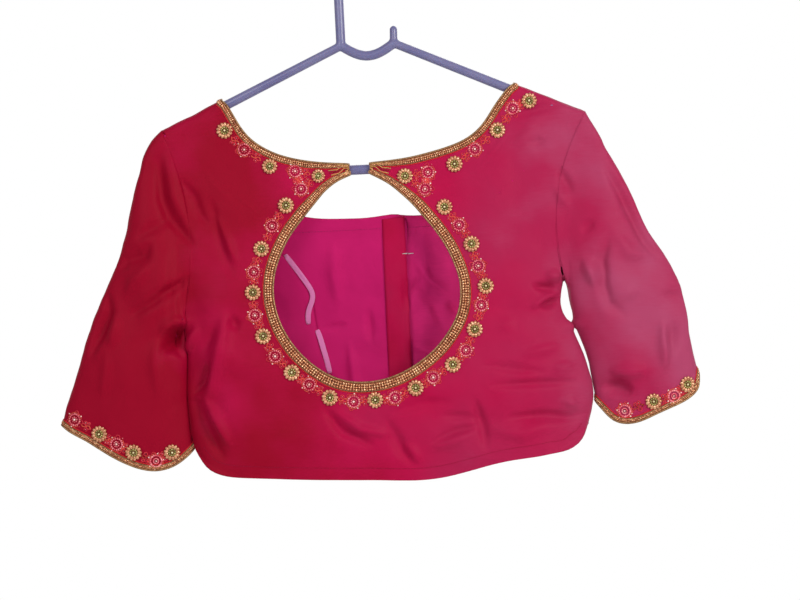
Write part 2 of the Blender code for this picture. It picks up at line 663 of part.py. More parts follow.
def keyhole_turns(outline, lengths):
    """Angle round the keyhole, in degrees, at which each line of the back meets it."""
    turns = []
    for spot in outline:
        away = spot - KEYHOLE_CENTRE
        turns.append(math.degrees(math.atan2(-away.x, -away.y)) % 360)
    for table in (LEFT_TURNS, RIGHT_TURNS):
        fixed = [(step, turns[step] if turn is None else turn) for step, turn in table]
        for (start, low), (end, high) in zip(fixed, fixed[1:]):
            for step in range(start, end + 1):
                share = (lengths[step] - lengths[start]) / (lengths[end] - lengths[start])
                turns[step] = low + (high - low) * share
    return turns


def square_in(start, end):
    """Direction square to a stretch of the back's upper edge, down into the cloth."""
    along = (end - start).normalized()
    square = Vector((along.y, -along.x))
    return square if square.y > 0 else -square


def bow(start, toward, end):
    """Points along a curve that leaves its start towards another point, and runs to its end."""
    shares = [i / BOW_STEPS for i in range(BOW_STEPS + 1)]
    return [start.lerp(toward, share).lerp(toward.lerp(end, share), share) for share in shares]


def back_grid():
    """Columns run from the outer edge in to the keyhole's edge."""
    outline, neck_left, neck_right = back_outline()
    lengths = [0.0]
    for start, end in zip(outline, outline[1:]):
        lengths.append(lengths[-1] + (end - start).length)
    turns = keyhole_turns(outline, lengths)
    radii = [(math.radians(angle), radius) for angle, radius in KEYHOLE]
    last = len(outline) - 1
    left_corner, right_corner = neck_left - 1, last - neck_right + 1
    corner_squares = {left_corner: square_in(outline[left_corner - 1], outline[left_corner]),
                      right_corner: square_in(outline[right_corner], outline[right_corner + 1])}
    flat = []
    for i, spot in enumerate(outline):
        turned = math.radians(turns[i])
        edge = KEYHOLE_CENTRE - Vector((math.sin(turned), math.cos(turned))) * look_up(radii, turned)
        straight = (edge - spot).normalized()
        if i in corner_squares:
            lead = corner_squares[i]
        elif i < left_corner or i > right_corner:
            lead = square_in(outline[max(i - 1, 0)], outline[min(i + 1, last)])
        else:
            corner = min(corner_squares, key=lambda step: abs(lengths[step] - lengths[i]))
            fade = math.exp(-abs(lengths[corner] - lengths[i]) / LEAD_FADE)
            lead = straight.lerp(corner_squares[corner], fade).normalized()
        reach = min(NECK_LEAD, (edge - spot).length * LEAD_SHARE)
        line = bow(spot, spot + lead * reach, edge)
        band = sum((end - start).length for start, end in zip(line, line[1:]))
        shrink = min(1.0, band / NARROW)
        steps_in = [distance * shrink for distance in BACK_COLUMNS]
        rest = [steps_in[-1] + (band - steps_in[-1]) * i / BACK_MIDDLE_COLUMNS
                for i in range(1, BACK_MIDDLE_COLUMNS)]
        bowed = list(zip(line, line))
        flat.append([walk(bowed, distance)[0] for distance in steps_in + rest] + [edge])
    return lay(flat, "back"), neck_left, neck_right


BACK, NECK_COLUMNS_LEFT, NECK_COLUMNS_RIGHT = back_grid()
wall("back", BACK, CRIMSON, 0.0, SHELL)
beading("keyhole_beading", [line[::-1] for line in BACK], KEYHOLE_BEAD_WIDTHS)

beading("neck_beading_left", BACK[:NECK_COLUMNS_LEFT], NECK_BEAD_WIDTHS)
beading("neck_beading_right", BACK[-NECK_COLUMNS_RIGHT:][::-1], NECK_BEAD_WIDTHS)
BACK_SKIN = outer_skin(BACK)
for number, (rosette_across, rosette_drop, rosette_radius) in enumerate(BACK_ROSETTES, 1):
    on_back, _ = body_point(rosette_across, rosette_drop, "back")
    rosette(f"rosette_back_{number:02d}", BACK_SKIN, on_back, Vector((0, -1, 0)),
            rosette_radius)


# ---------------------------------------------------------------- fronts

def front(side, neck, opening_edge, armhole_points, princess_rows, side_seam, overlap):
    """Centre and side panels of one front with their linings."""
    neck_path = path(neck, neck_shares(FRONT_NECK_LENGTH))
    hem_point = Vector((opening_edge, hem_drop(opening_edge)))
    opening = [neck_path[-1].lerp(hem_point, share) for share in even(OPENING_STEPS)]
    upper_armhole = armhole_points[:PRINCESS_START + 1]
    lower_armhole = armhole_points[PRINCESS_START:]
    start = armhole_points[PRINCESS_START]
    princess = path([tuple(start)] + princess_rows,
                    even(len(lower_armhole) + len(side_seam) - 2), hem_drop)
    towards_centre = -SEAM_GAP / 2 if overlap else SEAM_GAP / 2
    centre = panel(neck_path + opening[1:],
                   upper_armhole[:-1] + beside(princess, towards_centre),
                   OPENING_COLUMNS, CENTRE_MIDDLE_COLUMNS, [0.0])
    outer_side = panel([start] + beside(princess, -towards_centre)[1:],
                       lower_armhole + side_seam[1:], [0.0], SIDE_MIDDLE_COLUMNS, SIDE_COLUMNS)
    centre = lay(centre, "front", overlap)
    outer_side = lay(outer_side, "front", overlap)
    wall(f"centre_front_{side}", centre, CRIMSON, 0.0, SHELL)
    wall(f"side_front_{side}", outer_side, CRIMSON, 0.0, SHELL)
    wall(f"lining_centre_{side}", centre[LINING_START:], MAGENTA, SHELL + SEAM_GAP, LINING)
    if not overlap:
        wall(f"lining_side_{side}", outer_side, MAGENTA, SHELL + SEAM_GAP, LINING)
    return [row[:len(OPENING_COLUMNS)] for row in centre[NECK_STEPS:]]


UNDERLAP = front("left", FRONT_NECK_LEFT, UNDERLAP_EDGE, ARMHOLE_LEFT, PRINCESS_LEFT,
                 SEAM_SIDE_LEFT, False)
front("right", FRONT_NECK_RIGHT, OVERLAP_EDGE, ARMHOLE_RIGHT, PRINCESS_RIGHT,
      SEAM_SIDE_RIGHT, True)
wall("placket_facing", UNDERLAP, CRIMSON, SHELL + LINING + 2 * SEAM_GAP, LINING)


def hook(name, drop, bend_across):
    """Wire hook sewn inside the overlapping front; one at the free edge curls round it."""
    body, _ = body_point(bend_across, drop, "front")
    between = body.y + (LAP_LIFT - SHELL - SEAM_GAP - LINING) / 2
    if bend_across < UNDERLAP_EDGE:
        places = [(HOOK_SHANK, between), (-HOOK_HIDDEN_TIP, between)]
    else:
        facing_inner = body.y - SHELL - 2 * LINING - 2 * SEAM_GAP
        beak = facing_inner - HOOK_WIRE - SEAM_GAP
        bend = 2 * HOOK_WIRE
        places = [(HOOK_SHANK, between), (EDGE_CLEAR + bend, between),
                  (EDGE_CLEAR, between - bend), (EDGE_CLEAR, beak + bend),
                  (EDGE_CLEAR - bend / 2, beak), (-HOOK_BEAK, beak)]
    points = [Vector((bend_across + aside, depth, -drop)) for aside, depth in places]
    tube(name, points, HOOK_WIRE, STEEL, 1)


for number, (hook_drop, hook_across) in enumerate(HOOKS, 1):
    hook(f"hook_{number}", hook_drop, hook_across)


# ---------------------------------------------------------------- sleeves

def sleeve(side, outward, outer, inner, armhole_points, cuff_dip, rosettes):
    """Tube of cloth from the armhole to the cuff, flat as it hangs, with its beaded edge."""
    outer_path = path(outer, even(SLEEVE_STEPS))
    inner_path = path(inner, even(SLEEVE_STEPS))
    flat_shares = ARMHOLE_SHARES + ARMHOLE_SHARES[-2:0:-1]
    places = []
    for i, along in enumerate(even(SLEEVE_STEPS)):
        own = min(1.0, along / SLEEVE_JOIN)
        own = own * own * (3 - 2 * own)
        half_depth = look_up(SLEEVE_DEPTH, along)
        row = []
        for j, share in enumerate(flat_shares):
            face = "back" if j <= ARMHOLE_STEPS else "front"
            side_sign = -1 if face == "back" else 1
            if i == 0:
                seam = armhole_points[ARMHOLE_STEPS - abs(j - ARMHOLE_STEPS)]
                aside = 1.3 * SEAM_GAP + UNDERARM_GAP * share ** 3
                spot = seam + Vector((outward * aside, 0))
            else:
                scoop = -ARMHOLE_SCOOP * 4 * share * (1 - share)
                dip = look_up(cuff_dip, share, 1 if face == "back" else 2)
                spot = chord_point(outer_path[i], inner_path[i], share,
                                   scoop + (dip - scoop) * along, outward)
            at_edge = share in (0.0, 1.0)
            seam = armhole_points[ARMHOLE_STEPS - abs(j - ARMHOLE_STEPS)]
            joined = math.sqrt(max(0.0, depth_squared(seam.x, seam.y, face)))
            round_share = (4 * share * (1 - share)) ** SLEEVE_FLATNESS
            free = (half_depth + fold_height(spot.x, spot.y, face)) * round_share
            depth = 0.0 if at_edge else joined * (1 - own) + free * own
            row.append(Vector((spot.x, side_sign * depth + SLEEVE_PITCH * along, -spot.y)))
        places.append(row)
    columns = len(flat_shares)
    grid = []
    for i, row in enumerate(places):
        laid = []
        for j, spot in enumerate(row):
            down = places[min(i + 1, SLEEVE_STEPS)][j] - places[max(i - 1, 0)][j]
            round_ = row[(j + 1) % columns] - row[(j - 1) % columns]
            facing = down.cross(round_).normalized() * -outward
            laid.append((spot, facing))
        for _ in range(FACING_ROUNDS):
            eased = [laid[j - 1][1] + laid[j][1] * 2 + laid[(j + 1) % columns][1]
                     for j in range(columns)]
            laid = [(spot, facing.normalized()) for (spot, _), facing in zip(laid, eased)]
        grid.append(laid)
    # Where sleeve and body face the same way, the sleeve's first ring leans as the body does.
    for j, (spot, facing) in enumerate(grid[0]):
        seam = armhole_points[ARMHOLE_STEPS - abs(j - ARMHOLE_STEPS)]
        face = "back" if j <= ARMHOLE_STEPS else "front"
        _, body_facing = body_point(seam.x, seam.y, face)
        alike = max(0.0, min(1.0, 2 * facing.dot(body_facing) - 0.4))
        grid[0][j] = (spot, facing.lerp(body_facing, alike).normalized())
    wall(f"sleeve_{side}", grid, CRIMSON, 0.0, SHELL, closed=True)
    cuff_lines = [[grid[SLEEVE_STEPS - i][j] for i in range(BEADED_STEPS)]
                  for j in range(columns)]
    beading(f"cuff_beading_{side}", cuff_lines, CUFF_BEAD_WIDTHS, closed=True)
    skin = outer_skin(grid, closed=True)
    ring = [walk(line, CUFF_ROSETTE_INSET)[0] for line in cuff_lines]
    facings = [walk(line, CUFF_ROSETTE_INSET)[1] for line in cuff_lines]
    for number, (face, share) in enumerate(rosettes, 1):
        j = max(i for i, row_share in enumerate(ARMHOLE_SHARES[:-1]) if row_share <= share)
        part = (share - ARMHOLE_SHARES[j]) / (ARMHOLE_SHARES[j + 1] - ARMHOLE_SHARES[j])
        here, there = (j, j + 1) if face == "back" else (-j % columns, (-j - 1) % columns)
        near = ring[here].lerp(ring[there], part)
        rosette(f"rosette_cuff_{side}_{number}", skin, near, facings[here],
                CUFF_ROSETTE_RADIUS)


sleeve("left", -1, OUTER_LEFT, INNER_LEFT, ARMHOLE_LEFT, CUFF_DIP_LEFT, CUFF_ROSETTES_LEFT)
sleeve("right", 1, OUTER_RIGHT, INNER_RIGHT, ARMHOLE_RIGHT, CUFF_DIP_RIGHT,
       CUFF_ROSETTES_RIGHT)
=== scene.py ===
"""A short lined choli blouse with a beaded keyhole back, on a tubular plastic hanger.

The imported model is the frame: every piece lies where its solid does.  Sizes are in millimetres
unless they say metres.  "Across" is x, and "drop" is the distance below the rail that the hook
hangs on.  Meshes are in metres.
"""
import math
from collections import Counter

import bmesh
import bpy
import numpy as np
from mathutils import Matrix, Vector, noise
from mathutils.bvhtree import BVHTree


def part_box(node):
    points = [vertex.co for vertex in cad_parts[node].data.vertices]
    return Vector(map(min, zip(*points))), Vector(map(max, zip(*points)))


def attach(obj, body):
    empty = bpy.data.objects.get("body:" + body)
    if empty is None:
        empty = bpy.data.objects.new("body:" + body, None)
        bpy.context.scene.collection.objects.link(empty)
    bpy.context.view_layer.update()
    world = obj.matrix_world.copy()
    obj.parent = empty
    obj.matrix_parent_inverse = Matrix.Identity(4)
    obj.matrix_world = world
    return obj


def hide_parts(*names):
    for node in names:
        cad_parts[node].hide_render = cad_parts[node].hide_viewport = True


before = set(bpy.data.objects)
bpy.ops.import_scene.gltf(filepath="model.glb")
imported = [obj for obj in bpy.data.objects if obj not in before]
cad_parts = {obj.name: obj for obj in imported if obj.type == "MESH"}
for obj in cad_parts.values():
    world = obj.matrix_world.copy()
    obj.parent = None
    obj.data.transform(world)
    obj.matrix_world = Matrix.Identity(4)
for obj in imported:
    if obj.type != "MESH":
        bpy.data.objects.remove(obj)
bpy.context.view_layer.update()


# ---------------------------------------------------------------- camera
# A long lens, square to the back of the blouse and tipped a little to one side, so that the
# blouse hangs slightly askew in the picture.

CAMERA_REACH = 1.9        # metres, from the lens to the middle of the blouse
CAMERA_AIM = Vector((0.0198, -0.01, -0.3548))
CAMERA_TIP = math.radians(2.9)
PICTURE_WIDTH = 0.8       # metres of the blouse's plane that the picture takes in

lens = bpy.data.cameras.new("camera")
lens.sensor_width = 36
lens.lens = lens.sensor_width * CAMERA_REACH / PICTURE_WIDTH
camera = bpy.data.objects.new("camera", lens)
bpy.context.scene.collection.objects.link(camera)
camera.matrix_world = (Matrix.Translation(CAMERA_AIM - Vector((0, CAMERA_REACH, 0)))
                       @ Matrix.Rotation(CAMERA_TIP, 4, "Y")
                       @ Matrix.Rotation(math.radians(90), 4, "X"))
bpy.context.scene.camera = camera


# ---------------------------------------------------------------- hanger
# One moulding of lilac plastic tube: a triangle whose top dips in the middle, with a stem that
# bends into the open hook and a short nub opposite it.  The blouse hangs from its two arms.

MM = 0.001                # metres
TUBE_RADIUS = 5.0
HOOK_RADIUS = 26.5        # middle of the tube, round the rail
STEM_RADIUS = 4.9
STEM_BOTTOM = 93.0
CRADLE_BOTTOM = 108.0     # lowest point of the dip
JUNCTION_DROP = 96.7      # where each arm leaves the dip
ARM_SLOPE = math.radians(24.5)
ARM_END = 190.0           # across, where the arm starts to turn down
BAR_DROP = 222.0
HOOK_TIP_DROP = 38.0
NUB_RADIUS = 4.0
NUB_DROP = 82.0           # of its tip
NUB_LEAN = 0.5            # across, from its foot to its tip
TIP_INSET = 2.0           # from the end of the hook to the middle of its rounded tip
ROUND_SIDES = 20          # facets round the tube
MOULDING_GRAIN = 1.3      # size of the moulding's mesh
LILAC = (0.170, 0.160, 0.295)
LILAC_DEEP = (0.120, 0.110, 0.250)


def at(across, drop, depth=0.0):
    """Point of the blouse's frame, in metres, from millimetres."""
    return Vector((across, depth, -drop)) * MM


def wire(points, radius, closed=False, facets=6):
    """Bmesh of a round wire through points in metres; its radius is in millimetres."""
    curve = bpy.data.curves.new("wire", "CURVE")
    curve.dimensions = "3D"
    curve.bevel_depth = radius * MM
    curve.bevel_resolution = max(0, facets // 2 - 2)
    curve.use_fill_caps = not closed
    line = curve.splines.new("POLY")
    line.points.add(len(points) - 1)
    for spot, place in zip(line.points, points):
        spot.co = (*place, 1.0)
    line.use_cyclic_u = closed
    guide = bpy.data.objects.new("wire", curve)
    bpy.context.scene.collection.objects.link(guide)
    bpy.context.view_layer.update()
    mesh = bpy.data.meshes.new_from_object(guide)
    bpy.data.objects.remove(guide, do_unlink=True)
    made = bmesh.new()
    made.from_mesh(mesh)
    bmesh.ops.remove_doubles(made, verts=made.verts, dist=1e-6)
    bpy.data.meshes.remove(mesh)
    return made


def add_to(whole, part):
    """Puts one bmesh into another, and frees it."""
    mesh = bpy.data.meshes.new("part")
    part.to_mesh(mesh)
    part.free()
    whole.from_mesh(mesh)
    bpy.data.meshes.remove(mesh)


def piece(name, shape, finishes, smooth=True):
    """Object from a bmesh, with its finishes, riding on the blouse."""
    mesh = bpy.data.meshes.new(name)
    shape.to_mesh(mesh)
    shape.free()
    for finish in finishes:
        mesh.materials.append(finish)
    mesh.polygons.foreach_set("use_smooth", [smooth] * len(mesh.polygons))
    made = bpy.data.objects.new(name, mesh)
    bpy.context.scene.collection.objects.link(made)
    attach(made, "root")
    return made


def settle(made):
    """Makes a piece's modifiers part of its mesh."""
    graph = bpy.context.evaluated_depsgraph_get()
    mesh = bpy.data.meshes.new_from_object(made.evaluated_get(graph))
    made.modifiers.clear()
    old = made.data
    made.data = mesh
    bpy.data.meshes.remove(old)
    mesh.name = made.name


def nodes_of(name):
    """A new material, with what its nodes are made and joined by."""
    material = bpy.data.materials.new(name)
    material.use_nodes = True
    tree = material.node_tree
    shader = tree.nodes["Principled BSDF"]

    def add(kind, **settings):
        node = tree.nodes.new(kind)
        for key, value in settings.items():
            if key in node.inputs:
                node.inputs[key].default_value = value
            else:
                setattr(node, key, value)
        return node

    def join(start, end):
        tree.links.new(start, end)

    return material, shader, add, join


def ramp(add, join, source, stops):
    """Colour ramp from stops of place and colour."""
    node = add("ShaderNodeValToRGB")
    band = node.color_ramp
    band.elements[0].position, band.elements[0].color = stops[0][0], (*stops[0][1], 1)
    band.elements[1].position, band.elements[1].color = stops[-1][0], (*stops[-1][1], 1)
    for place, colour in stops[1:-1]:
        band.elements.new(place).color = (*colour, 1)
    join(source, node.inputs["Fac"])
    return node.outputs["Color"]


def grained(name, scale, detail, stops, settings, relief=None):
    """Material whose colour runs through stops by a noise.

    Settings are the shader's own, and relief is the strength and depth of a bump.
    """
    material, shader, add, join = nodes_of(name)
    grain = add("ShaderNodeTexNoise", Scale=scale, Detail=detail)
    join(add("ShaderNodeTexCoord").outputs["Object"], grain.inputs["Vector"])
    join(ramp(add, join, grain.outputs["Fac"], stops), shader.inputs["Base Color"])
    for key, value in settings.items():
        shader.inputs[key].default_value = value
    if relief:
        bump = add("ShaderNodeBump", Strength=relief[0], Distance=relief[1])
        join(grain.outputs["Fac"], bump.inputs["Height"])
        join(bump.outputs["Normal"], shader.inputs["Normal"])
    return material


def hanger_plastic():
    """Lilac moulded plastic, a little cloudy, with fine handling scuffs."""
    material, shader, add, join = nodes_of("hanger_plastic")
    place = add("ShaderNodeTexCoord").outputs["Object"]
    cloud = add("ShaderNodeTexNoise", Scale=28.0, Detail=3.0)
    scuff = add("ShaderNodeTexNoise", Scale=900.0, Detail=2.0)
    join(place, cloud.inputs["Vector"])
    join(place, scuff.inputs["Vector"])
    join(ramp(add, join, cloud.outputs["Fac"], [(0.3, LILAC_DEEP), (0.7, LILAC)]),
         shader.inputs["Base Color"])
    gloss = add("ShaderNodeMapRange")
    gloss.inputs["To Min"].default_value = 0.24
    gloss.inputs["To Max"].default_value = 0.40
    join(cloud.outputs["Fac"], gloss.inputs["Value"])
    join(gloss.outputs["Result"], shader.inputs["Roughness"])
    bump = add("ShaderNodeBump", Strength=0.06, Distance=0.0002)
    join(scuff.outputs["Fac"], bump.inputs["Height"])
    join(bump.outputs["Normal"], shader.inputs["Normal"])
    shader.inputs["Subsurface Weight"].default_value = 0.12
    shader.inputs["Subsurface Scale"].default_value = 0.003
    return material


def bend(centre_across, centre_drop, radius, start, end, steps):
    """Points round an arc; degrees run clockwise from straight up."""
    turns = [math.radians(start + (end - start) * step / steps) for step in range(steps + 1)]
    return [at(centre_across + radius * math.sin(turn), centre_drop - radius * math.cos(turn))
            for turn in turns]


def arm_drop(across):
    """Drop of the middle of the hanger's arm."""
    return JUNCTION_DROP + (across - HOOK_RADIUS) * math.tan(ARM_SLOPE)


corner = (BAR_DROP - arm_drop(ARM_END)) / (1 + math.cos(ARM_SLOPE))
corner_across = ARM_END - corner * math.sin(ARM_SLOPE)
dip = CRADLE_BOTTOM - JUNCTION_DROP
cradle = [at(HOOK_RADIUS * step / 10, JUNCTION_DROP + dip * math.cos(step / 10 * math.pi / 2))
          for step in range(-10, 11)]
right_corner = bend(corner_across, BAR_DROP - corner, corner, math.degrees(ARM_SLOPE), 180, 16)
left_corner = [Vector((-spot.x, 0, spot.z)) for spot in reversed(right_corner)]
moulding = wire(cradle + right_corner + left_corner, TUBE_RADIUS, closed=True,
                facets=ROUND_SIDES)
hook_tip = at(HOOK_RADIUS, HOOK_TIP_DROP - TIP_INSET)
hook_line = ([at(-HOOK_RADIUS, STEM_BOTTOM)]
             + bend(0, HOOK_RADIUS - TUBE_RADIUS, HOOK_RADIUS, -90, 90, 28)
             + [hook_tip])
add_to(moulding, wire(hook_line, STEM_RADIUS, facets=ROUND_SIDES))
add_to(moulding, wire([at(HOOK_RADIUS, JUNCTION_DROP), at(HOOK_RADIUS + NUB_LEAN, NUB_DROP)],
                      NUB_RADIUS, facets=ROUND_SIDES))
for tip, radius in ((hook_tip, STEM_RADIUS),
                    (at(HOOK_RADIUS + NUB_LEAN, NUB_DROP + 1), NUB_RADIUS)):
    bmesh.ops.create_uvsphere(moulding, u_segments=ROUND_SIDES, v_segments=12,
                              radius=radius * MM, matrix=Matrix.Translation(tip))
hanger = piece("hanger_moulding", moulding, [hanger_plastic()])
skin = hanger.modifiers.new("moulded", "REMESH")
skin.mode = "VOXEL"
skin.voxel_size = MOULDING_GRAIN * MM
skin.use_smooth_shade = True
soften = hanger.modifiers.new("softened", "SMOOTH")
soften.factor = 0.5
soften.iterations = 4
settle(hanger)
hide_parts("hanger")


# ---------------------------------------------------------------- back
# The back is one cut of crimson silk on an interlining, with the keyhole cut out of its middle.
# It turns over the hanger at the shoulders, and its hem is turned up and stitched.

SHELL = 1.2               # outer cloth with its interlining
WALL_SHARE = 1.9          # a wall's rim is what is thicker than this many walls
SHARP_TURN = math.radians(55)   # faces that meet at more are on different sides of a wall
SAME_SPOT = 0.02          # points of a solid this near each other are one
EDGE_FITTINGS = 2         # times that a rounded piece's edges are drawn back out
CLOTH_STEP = 3.2          # edges longer than this are halved,
HALVINGS = 3              # up to this many times
SMOOTHINGS = 5
CREASE_GAIN = 2.3         # how much higher creases are than their tables say
EDGE_ON = 0.15            # a crease fades out where the cloth's normal has this little depth,
CREASE_FADE = 0.45        # and has its full height where it has this much more
# Crimson: random tone, with painted light paling it along x to a painted rose sheen.
CRIMSON = (0.41, 0.0032, 0.050)
CRIMSON_DEEP = (0.285, 0.0012, 0.017)
CRIMSON_MOTTLE_AND_PAINTED_LIGHT = (0.365, 0.012, 0.063)
ROSE_PAINTED_SHEEN = (0.37, 0.048, 0.118)
MAGENTA = (0.50, 0.009, 0.118)
MAGENTA_DEEP = (0.38, 0.006, 0.082)
MAGENTA_PALE = (0.60, 0.022, 0.165)
SHADE_MIDDLE = 0.165      # brings cloth of middling dye at the blouse's middle to the plain colour
WEAVE_SCALE = 320.0       # threads lie about half a millimetre apart

# Creases: half width, height (a trough is below nought), and across and drop along each.
BACK_CREASES = [
    (7, -2.5, (-214.5, 202), (-212, 241), (-206, 260), (-198, 272), (-185, 288)),
    (8, 2.0, (-206, 199), (-200.5, 241), (-189.5, 269)),
    (6, -1.5, (-193.5, 224), (-181, 241), (-175.5, 260.5), (-167, 269)),
    (6, 2.0, (-159, 263), (-150.5, 285.5), (-142, 310.5)),
    (6, -1.5, (-164, 247), (-153, 297), (-146, 324)),
    (6, -3.0, (-189.5, 322), (-206, 333), (-225.5, 344), (-248, 355)),
    (8, -2.5, (-225.5, 285.5), (-234, 297), (-250.5, 302), (-259, 310.5)),
    (6, -1.5, (-206, 263), (-225.5, 272), (-239.5, 280)),
    (8, 1.5, (-228, 308), (-245, 324), (-253, 335.5)),
    (7, -3.0, (-272, 335.5), (-272, 352), (-281, 372), (-292, 394)),
    (7, 1.5, (-264.5, 358), (-270, 385.5)),
    (8, -3.5, (-206, 372), (-204, 385), (-201, 402)),
    (8, 2.5, (-223, 374), (-206, 366), (-189, 366)),
    (6, 2.5, (-184, 372), (-189, 385), (-195, 397)),
    (8, 1.5, (-225, 380), (-227, 408), (-225.5, 435.5)),
    (8, 3.0, (-156, 360.5), (-157.5, 380), (-164.5, 408), (-173, 435.5), (-178, 444)),
    (6, -2.0, (-148, 363), (-143.5, 377)),
    (5, -3.0, (-173, 408), (-181, 427), (-189, 438)),
    (6, -1.5, (-167, 372), (-178, 397)),
    (6, 3.0, (-178, 444), (-167, 466), (-156, 491)),
    (6, -2.0, (-189.5, 444), (-178, 477), (-164, 502)),
    (7, 1.0, (-275, 397), (-281, 435)),
    (6, -2.5, (-60, 460.5), (-43, 483), (-15.5, 497)),
    (6, 2.0, (-49, 463), (-27, 480), (1, 488)),
    (7, -2.0, (1, 474), (15, 505), (26, 519)),
    (6, 1.5, (18, 497), (32, 516)),
    (6, -2.5, (88.5, 458), (95.5, 483), (98, 505)),
    (5, -2.0, (45.5, 497), (68, 488), (90, 483)),
    (8, 2.0, (45.5, 502), (84, 491)),
    (5, -1.5, (57, 472), (79, 474), (93, 477)),
    (6, -1.2, (7, 466), (34, 458), (62, 458)),
    (6, -1.5, (136, 177), (158, 173), (189, 166)),
    (6, -2.0, (186, 233), (196, 255)),
    (6, 1.5, (180.5, 252), (192, 269)),
    (7, -3.0, (233, 235.5), (244, 255), (255.5, 280), (267, 308), (278, 324)),
    (8, 2.0, (239, 302), (250, 319), (266, 324)),
    (6, -1.5, (216, 285.5), (205, 297)),
    (8, -3.0, (230.5, 302), (222, 324), (222, 347), (228, 369), (242, 380)),
    (8, 3.0, (205.5, 324), (214, 341), (215, 352)),
    (12, 1.5, (244, 352), (250, 366)),
    (5, -3.0, (153, 347), (175, 352)),
    (7, 3.0, (167, 341), (180.5, 335.5)),
    (5, -3.0, (158, 369), (169, 365), (179, 363)),
    (5, 2.0, (150, 369), (175, 356)),
    (7, 1.0, (133, 380), (117, 388)),
    (5, -1.5, (100, 424), (139, 430), (158, 433)),
    (5, -2.0, (105.5, 444), (150, 444), (192, 445)),
    (6, 1.5, (139, 416), (175, 408)),
    (6, 1.5, (169, 433), (189, 427)),
    (6, -2.5, (122, 477), (161, 477), (183, 480), (200, 477)),
    (9, 2.0, (105.5, 488), (133, 494), (161, 488)),
    (8, 2.0, (186, 460), (183, 471)),
    (9, -4.0, (219, 452), (233, 453), (247, 460)),
    (10, 2.5, (225, 435.5), (261, 438)),
    (6, 2.5, (280.5, 391), (280.5, 435)),
    (8, -2.0, (292, 391), (289, 421)),
    (6, -1.5, (283, 363), (305, 366)),
    (6, -1.2, (158, 205), (172, 202)),
    (7, 1.0, (143, 208), (164, 185)),
]


def crease_height(across, drop, creases):
    """Height in millimetres of the creases at many points of the cloth."""
    height = np.zeros(len(across))
    for half_width, rise, *line in creases:
        line = np.array(line, dtype=float)
        runs = np.hypot(*(line[1:] - line[:-1]).T)
        whole, passed = runs.sum(), 0.0
        nearest = np.full(len(across), 1e9)
        share = np.zeros(len(across))
        for start, end, run in zip(line, line[1:], runs):
            way = (end - start) / run
            along = np.clip((across - start[0]) * way[0] + (drop - start[1]) * way[1], 0, run)
            off = np.hypot(across - start[0] - way[0] * along, drop - start[1] - way[1] * along)
            closer = off < nearest
            nearest = np.where(closer, off, nearest)
            share = np.where(closer, (passed + along) / whole, share)
            passed += run
        # Creases are widest half way along, and run out at both ends.
        width = half_width * (0.52 + 0.33 * np.sin(share * math.pi))
        taper = np.sin(np.clip(share * 0.94 + 0.03, 0, 1) * math.pi) ** 0.7
        height += rise * CREASE_GAIN * taper * np.exp(-(nearest / width) ** 2)
    return height


def uneven(across, drop, depth):
    """Height in millimetres of the broad, middling and small waves all over hung silk."""
    broad = noise.noise(Vector((across / 46, drop / 64, depth / 46)))
    middling = noise.noise(Vector((across / 19 + 7, drop / 30, depth / 19)))
    small = noise.noise(Vector((across / 8, drop / 12 + 3, depth / 8)))
    return 1.3 * broad + 0.75 * middling + 0.2 * small


def leaning_back(side):
    """How much of a side of the cloth looks to the back."""
    return -sum(face.normal.y * face.calc_area() for face in side)


def leaning_forward(side):
    """How much of a side of the cloth looks to the front."""
    return -leaning_back(side)


def sides_of(shape):
    """Lists of faces that join without a sharp turn."""
    left = set(shape.faces)
    found = []
    while left:
        queue = [left.pop()]
        side = []
        while queue:
            face = queue.pop()
            side.append(face)
            for edge in face.edges:
                if edge.calc_face_angle(0) < SHARP_TURN:
                    near = [other for other in edge.link_faces if other in left]
                    left.difference_update(near)
                    queue.extend(near)
        found.append(side)
    return found


def shown_skin(node, thickness, rank):
    """The shown side of a cloth solid, as four-sided faces; rank picks it from the sides."""
    skin = bmesh.new()
    skin.from_mesh(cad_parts[node].data)
    bmesh.ops.remove_doubles(skin, verts=skin.verts, dist=SAME_SPOT * MM)
    skin.normal_update()
    tree = BVHTree.FromBMesh(skin)
    reach = thickness * WALL_SHARE * MM
    rim = [face for face in skin.faces
           if tree.ray_cast(face.calc_center_median() - face.normal * SAME_SPOT * MM,
                            -face.normal, reach)[0] is None]
    bmesh.ops.delete(skin, geom=rim, context="FACES")
    sides = sorted(sides_of(skin), key=rank)
    spare = [face for side in sides[:-1] for face in side]
    bmesh.ops.delete(skin, geom=spare, context="FACES")
    bmesh.ops.join_triangles(skin, faces=skin.faces, angle_face_threshold=math.radians(50),
                             angle_shape_threshold=math.radians(60))
    return skin


shown = {}                # the creased outer side of each piece of cloth


def round_off(made, fittings):
    """Rounds a piece, and draws it back out so that it goes through the points it had.

    The edges are drawn out every time, and the rest of the cloth in the last fittings alone.
    """
    wanted = [vert.co.copy() for vert in made.data.vertices]
    seen_once = Counter(key for face in made.data.polygons for key in face.edge_keys)
    at_edge = {number for key, times in seen_once.items() if times == 1 for number in key}
    rounded = made.modifiers.new("rounded", "SUBSURF")
    rounded.levels = rounded.render_levels = 2
    rounded.boundary_smooth = "PRESERVE_CORNERS"
    for left in range(EDGE_FITTINGS, 0, -1):
        bpy.context.view_layer.update()
        smooth = made.evaluated_get(bpy.context.evaluated_depsgraph_get()).data
        short = [spot - smooth.vertices[number].co for number, spot in enumerate(wanted)]
        for vert, push in zip(made.data.vertices, short):
            if left <= fittings or vert.index in at_edge:
                vert.co += push
        made.data.update()
    settle(made)


